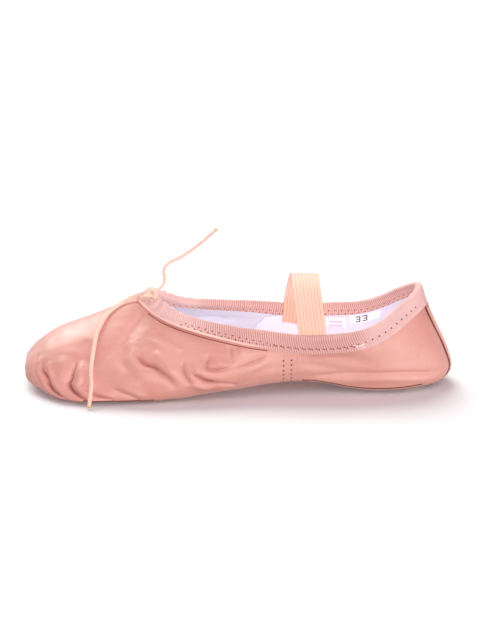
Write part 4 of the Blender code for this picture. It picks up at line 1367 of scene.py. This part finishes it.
def label_place(box):
    """Angles and rows of a label on the far wall, from its two ends and its depths."""
    low_x, high_x, top, bottom = box
    places = np.linspace(low_x, high_x, 24)
    rim = angle_at(places, LAST_ROW)
    low, high = edge_row(rim, bottom), edge_row(rim, top)
    rows = low[:, None] + np.linspace(0, 1, 12)[None] * (high - low)[:, None]
    return (TURN - angle_at(places[:, None], rows))[::-1], rows[::-1]


def printed(name, box, shapes, material):
    """Flat shapes printed on a label: each a ring of (along, up) in mm from its lower left."""
    low_x, _, _, bottom = box
    face = LABEL_AT + LABEL_THICK
    points, faces = [], []
    for ring in shapes:
        start, count = len(points), len(ring)
        ring = np.array(ring, float)
        x = low_x + ring[:, 0]
        depths = bottom - ring[:, 1]
        row = np.array([edge_row(angle_at(a, LAST_ROW), d) for a, d in zip(x, depths)])
        for depth in (face + 0.06, face - 0.1):
            points += list(raised(TURN - angle_at(x, row), row, -depth))
        faces.append(tuple(range(start, start + count)))
        faces.append(tuple(reversed(range(start + count, start + 2 * count))))
        for k in range(count):
            up = (k + 1) % count
            faces.append((start + up, start + k, start + count + k, start + count + up))
    on_body(new_object(name, points, faces, material), "heel", "label_satin")


def digit_three(x, y, width, height, stroke):
    """A figure 3, as short bars."""
    bars = []
    for level in (0.0, 0.5, 1.0):
        base = y + level * (height - stroke)
        inset_x = 0.25 * width if level == 0.5 else 0.0
        bars.append(((x + inset_x, base), (x + width, base), (x + width, base + stroke),
                     (x + inset_x, base + stroke)))
    for low, high in ((0.12, 0.5), (0.55, 0.93)):
        bars.append(((x + width - stroke, y + low * height), (x + width, y + low * height),
                     (x + width, y + high * height), (x + width - stroke, y + high * height)))
    return bars


def labels():
    """Two satin labels on the far lining, one with a number and one with stripes."""
    for name, box, node in (("size_label_satin", SIZE_LABEL, "size_label"),
                            ("second_label_satin", SECOND_LABEL, "second_label")):
        angles, rows = label_place(box)
        curl = 0.08 * np.abs(np.linspace(-1, 1, len(rows)))[:, None] ** 4 + 0 * rows
        label = wall_patch(name, angles, rows, LABEL_AT + curl, LABEL_THICK, "label")
        on_body(label, "heel", "label_satin", node)
    digits = digit_three(3.0, 0.6, 2.5, 3.1, 0.55) + digit_three(6.6, 0.6, 2.5, 3.1, 0.55)
    printed("size_label_digits", SIZE_LABEL, digits, "ink")
    stripes = []
    for y in (1.6, 3.4):
        top = [(x, y + 0.9) for x in np.linspace(8.2, 1.5, 8)]
        stripes.append([(x, y) for x in np.linspace(1.5, 8.2, 8)] + top)
    printed("second_label_stripes", SECOND_LABEL, stripes, "pink")


def lining_flap():
    """The front of the far quarter's lining, which lies loose over the vamp's lining."""
    count, high = 50, 30
    up = np.linspace(0, 1, high)[None]
    along = np.linspace(1, 0, count)[:, None]
    rows = 2.9 + up * (5.95 - 2.9) + 0 * along
    front = FLAP_FRONT[0] + (FLAP_FRONT[1] - FLAP_FRONT[0]) * up ** 1.4
    angles = TURN - angle_at(front + along * (SEAM_X + 2.0 - front), rows)
    puff = 1.5 * np.sin(math.pi * along ** 0.6) * np.sin(math.pi * up ** 0.8)
    puff += 1.1 * (1 - along) ** 3
    start = LINING_END + 0.12 + puff - 0.6 * relief(angles, rows)
    # Painted light: the flap's cotton material is paler than the rest of the lining.
    flap = wall_patch("cotton_lining_flap", angles, rows, start, 0.45, "flap")
    on_body(flap, "arch", "lining_cotton")
    face = raised(angles, rows, -start)


def gap_shadow_lines():
    """Dark lines of painted shadow: in the gaps down both edges of the back strip, and along the
    soles' edges.
    """
    for side, sign in (("near", -1), ("far", 1)):
        rows = np.linspace(2.0, 6.05, 60)
        angles = heel_angles(rows, [sign * (STRIP_HALF_WIDTH + 0.25)])[0]
        # Painted shadow: a dark tube in the gap beside the strip's edge.
        line = tubes("back_strip_gap_shadow_" + side, [raised(angles, rows, 0.12)], 0.42, "recess_shade", 8)
        on_body(line, "heel", "upper_leather")
        for place, body, pairs in (("heel", "heel", HEEL_LINE), ("forefoot", "arch", FORE_LINE)):
            x = np.linspace(pairs[0][0], pairs[-1][0], 90)
            row = smooth_through(pairs, x)
            angle = angle_at(x, row) * -sign
            # Painted shadow: a dark tube in the gap where the upper meets the sole.
            line = raised(angle, row, relief(angle, row) - 0.05)
            line = tubes(place + "_sole_gap_shadow_" + side, [line], 0.32, "recess_shade")
            on_body(line, body, "upper_leather")


# ---------------------------------------------------------------- strap

def strap():
    """The elastic band from its near sewn end over the instep to its far one."""
    across = np.linspace(-0.5, 0.5, 8 * STRAP_RIBS + 1) * STRAP_WIDTH
    middle = STRAP_AT + STRAP_THICK / 2
    near, far = [], []
    for centre_x, into, sign in ((STRAP_NEAR_X, near, 1), (STRAP_FAR_X, far, -1)):
        x = across + centre_x
        rim = angle_at(x, LAST_ROW)
        for depth in np.linspace(STRAP_START + STRAP_SEWN, STRAP_START, 12):
            row = edge_row(rim, depth)
            into.append(raised(angle_at(x, row) * sign, row, -middle))
    feet = [raised(sign * angle_at(x, LAST_ROW), LAST_ROW, -middle)
            for x, sign in ((STRAP_NEAR_X, 1), (STRAP_FAR_X, -1))]
    half_span = (feet[1][1] - feet[0][1]) / 2
    centre_y = (feet[1][1] + feet[0][1]) / 2
    rise = STRAP_TOP_Z - STRAP_FOOT_Z
    arch = []
    for t in np.linspace(0.03, math.pi - 0.03, 90):
        lean = -math.cos(t)
        foot_x = STRAP_NEAR_X if lean < 0 else STRAP_FAR_X
        bow = STRAP_TOP_X + (foot_x - STRAP_TOP_X) * (1 - math.sin(t))
        centre = np.array((bow, centre_y + half_span * lean, STRAP_FOOT_Z + rise * math.sin(t)))
        line = np.repeat(centre[None], len(across), 0)
        line[:, 0] += across
        arch.append(line)
    grid = np.array(near + arch + far[::-1])
    for _ in range(12):
        grid[1:-1] = grid[1:-1] * 0.5 + (grid[:-2] + grid[2:]) * 0.25
    normal = unit(np.cross(np.gradient(grid, axis=1), np.gradient(grid, axis=0)))
    rib = np.abs(np.sin(math.pi * STRAP_RIBS * (across / STRAP_WIDTH + 0.5))) ** 0.35
    height = (0.27 + 0.15 * rib)[:, None, None]
    grid, normal = grid.transpose(1, 0, 2), normal.transpose(1, 0, 2)
    uv = lengths_uv(grid)
    uv[..., 0] = (across + STRAP_WIDTH / 2)[:, None]
    uv[..., 1] = uv[len(across) // 2, :, 1][None]
    band = shell("elastic_strap", grid + normal * height, grid - normal * height, "elastic", uv=uv)
    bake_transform(band)
    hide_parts("instep_strap", "strap_end_near", "strap_end_far")


# ---------------------------------------------------------------- soles

def oval(start, end, widths, power, count):
    """A closed outline on the floor between two ends, with half widths by share."""
    angles = np.linspace(0, TURN, count, endpoint=False)
    share = (1 - np.cos(angles)) / 2
    side = np.copysign(np.abs(np.sin(angles)) ** power, np.sin(angles))
    return np.stack([start + share * (end - start), -side * smooth_through(widths, share)], -1)


def underside(plan):
    """The height of the underside of the upper over points of the floor."""
    rows = np.linspace(0, 3, 61)
    x, y = plan[..., 0].ravel(), np.abs(plan[..., 1]).ravel()
    lines = outside(angle_at(x[:, None], rows), rows)
    heights = [np.interp(at, -line[:, 1], line[:, 2]) for at, line in zip(y, lines)]
    return np.reshape(heights, plan.shape[:-1])


def rings_within(outline, shares):
    """Copies of an outline, each drawn in towards its middle to one of these shares."""
    centre = outline.mean(axis=0)
    return centre + (outline[:, None] - centre) * shares[None, :, None]


def lifted(plan, height):
    """Points at these heights over points of the floor."""
    return np.concatenate([plan, np.broadcast_to(height, plan.shape[:-1])[..., None]], -1)


def sole(name, ends, widths, power, body, node, count):
    """A suede patch under the upper, with stitches sunk in a channel round its edge."""
    outline = oval(*ends, widths, power, count)
    shares = np.concatenate([np.linspace(0.02, 0.9, 22), [0.925, 0.95, 0.965, 0.98, 0.99, 1.0]])
    plan = rings_within(outline, shares)
    centre = outline.mean(axis=0)
    reach = np.linalg.norm(outline - centre, axis=1)[:, None]
    inward = (1 - shares) * reach
    high = underside(plan) - SOLE_TOP + SOLE_THICK
    low = high - SOLE_THICK + 0.35 * np.exp(-((inward - SOLE_CHANNEL) / 0.55) ** 2)
    low += 0.45 * smooth_step(inward, 0.9, 0.0)
    low += 0.05 * ripple(lifted(plan, 0.0), 17, 9.0) * smooth_step(inward, 0, 2)
    low, high = lifted(plan, np.maximum(low, 0.0)), lifted(plan, high)
    on_body(shell(name, low[::-1], high[::-1], "suede", ring=True), body, "sole_suede", node)
    line = centre + (outline - centre) * (1 - SOLE_CHANNEL / reach)
    line = lifted(line, underside(line) - SOLE_TOP + 0.16)
    line = np.concatenate([line, line[:1]])
    far = distances(line)[-1]
    threads = stitches(line, np.zeros(line.shape) + (0, 0, 1), far / int(far / SOLE_STITCH),
                       (0.2, 0.0, -0.03, 0.0, 0.2))
    sewn = tubes(name + "_stitches", threads, 0.2, "dark_thread", 5)
    on_body(sewn, body, "sole_suede")


def pad(name, start, end, half, body, node):
    """A felt filler, crowned in the middle and thinner at its edge."""
    outline = oval(start, end, ((0, half), (1, half * 0.8)), 0.9, 96)
    shares = np.concatenate([np.linspace(0.03, 0.85, 12), [0.92, 0.97, 1.0]])
    plan = rings_within(outline, shares)
    middle, most = (PAD_TOP + PAD_BOTTOM) / 2, (PAD_TOP - PAD_BOTTOM) / 2
    thick = most * (1 - 0.5 * smooth_step(shares, 0.82, 1.0))
    thick = thick * (1 - 0.04 * (1 + ripple(lifted(plan, 0.0), 23, 8.0)))
    top, low = (lifted(plan, middle + way * np.minimum(thick, most)) for way in (1, -1))
    felt = shell(name, top, low, "felt", ring=True)
    on_body(felt, body, "filler_felt", node)


camera_and_light()
floor()
cords()
uppers()
binding()
drawstring()
zigzag()
backtack()
seam_rows()
seam_tapes()
back_strip()
sock_lining()
labels()
lining_flap()
gap_shadow_lines()
strap()
sole("suede_forefoot_sole", FOREFOOT_SOLE, FOREFOOT_WIDTHS, 0.7, "arch", "forefoot_outsole", 160)
sole("suede_heel_sole", HEEL_SOLE, HEEL_WIDTHS, 0.6, "heel", "heel_outsole", 120)
pad("felt_forefoot_pad", *FOREFOOT_PAD, "forefoot", "forefoot_pad")
pad("felt_heel_pad", *HEEL_PAD, "heel", "heel_pad")
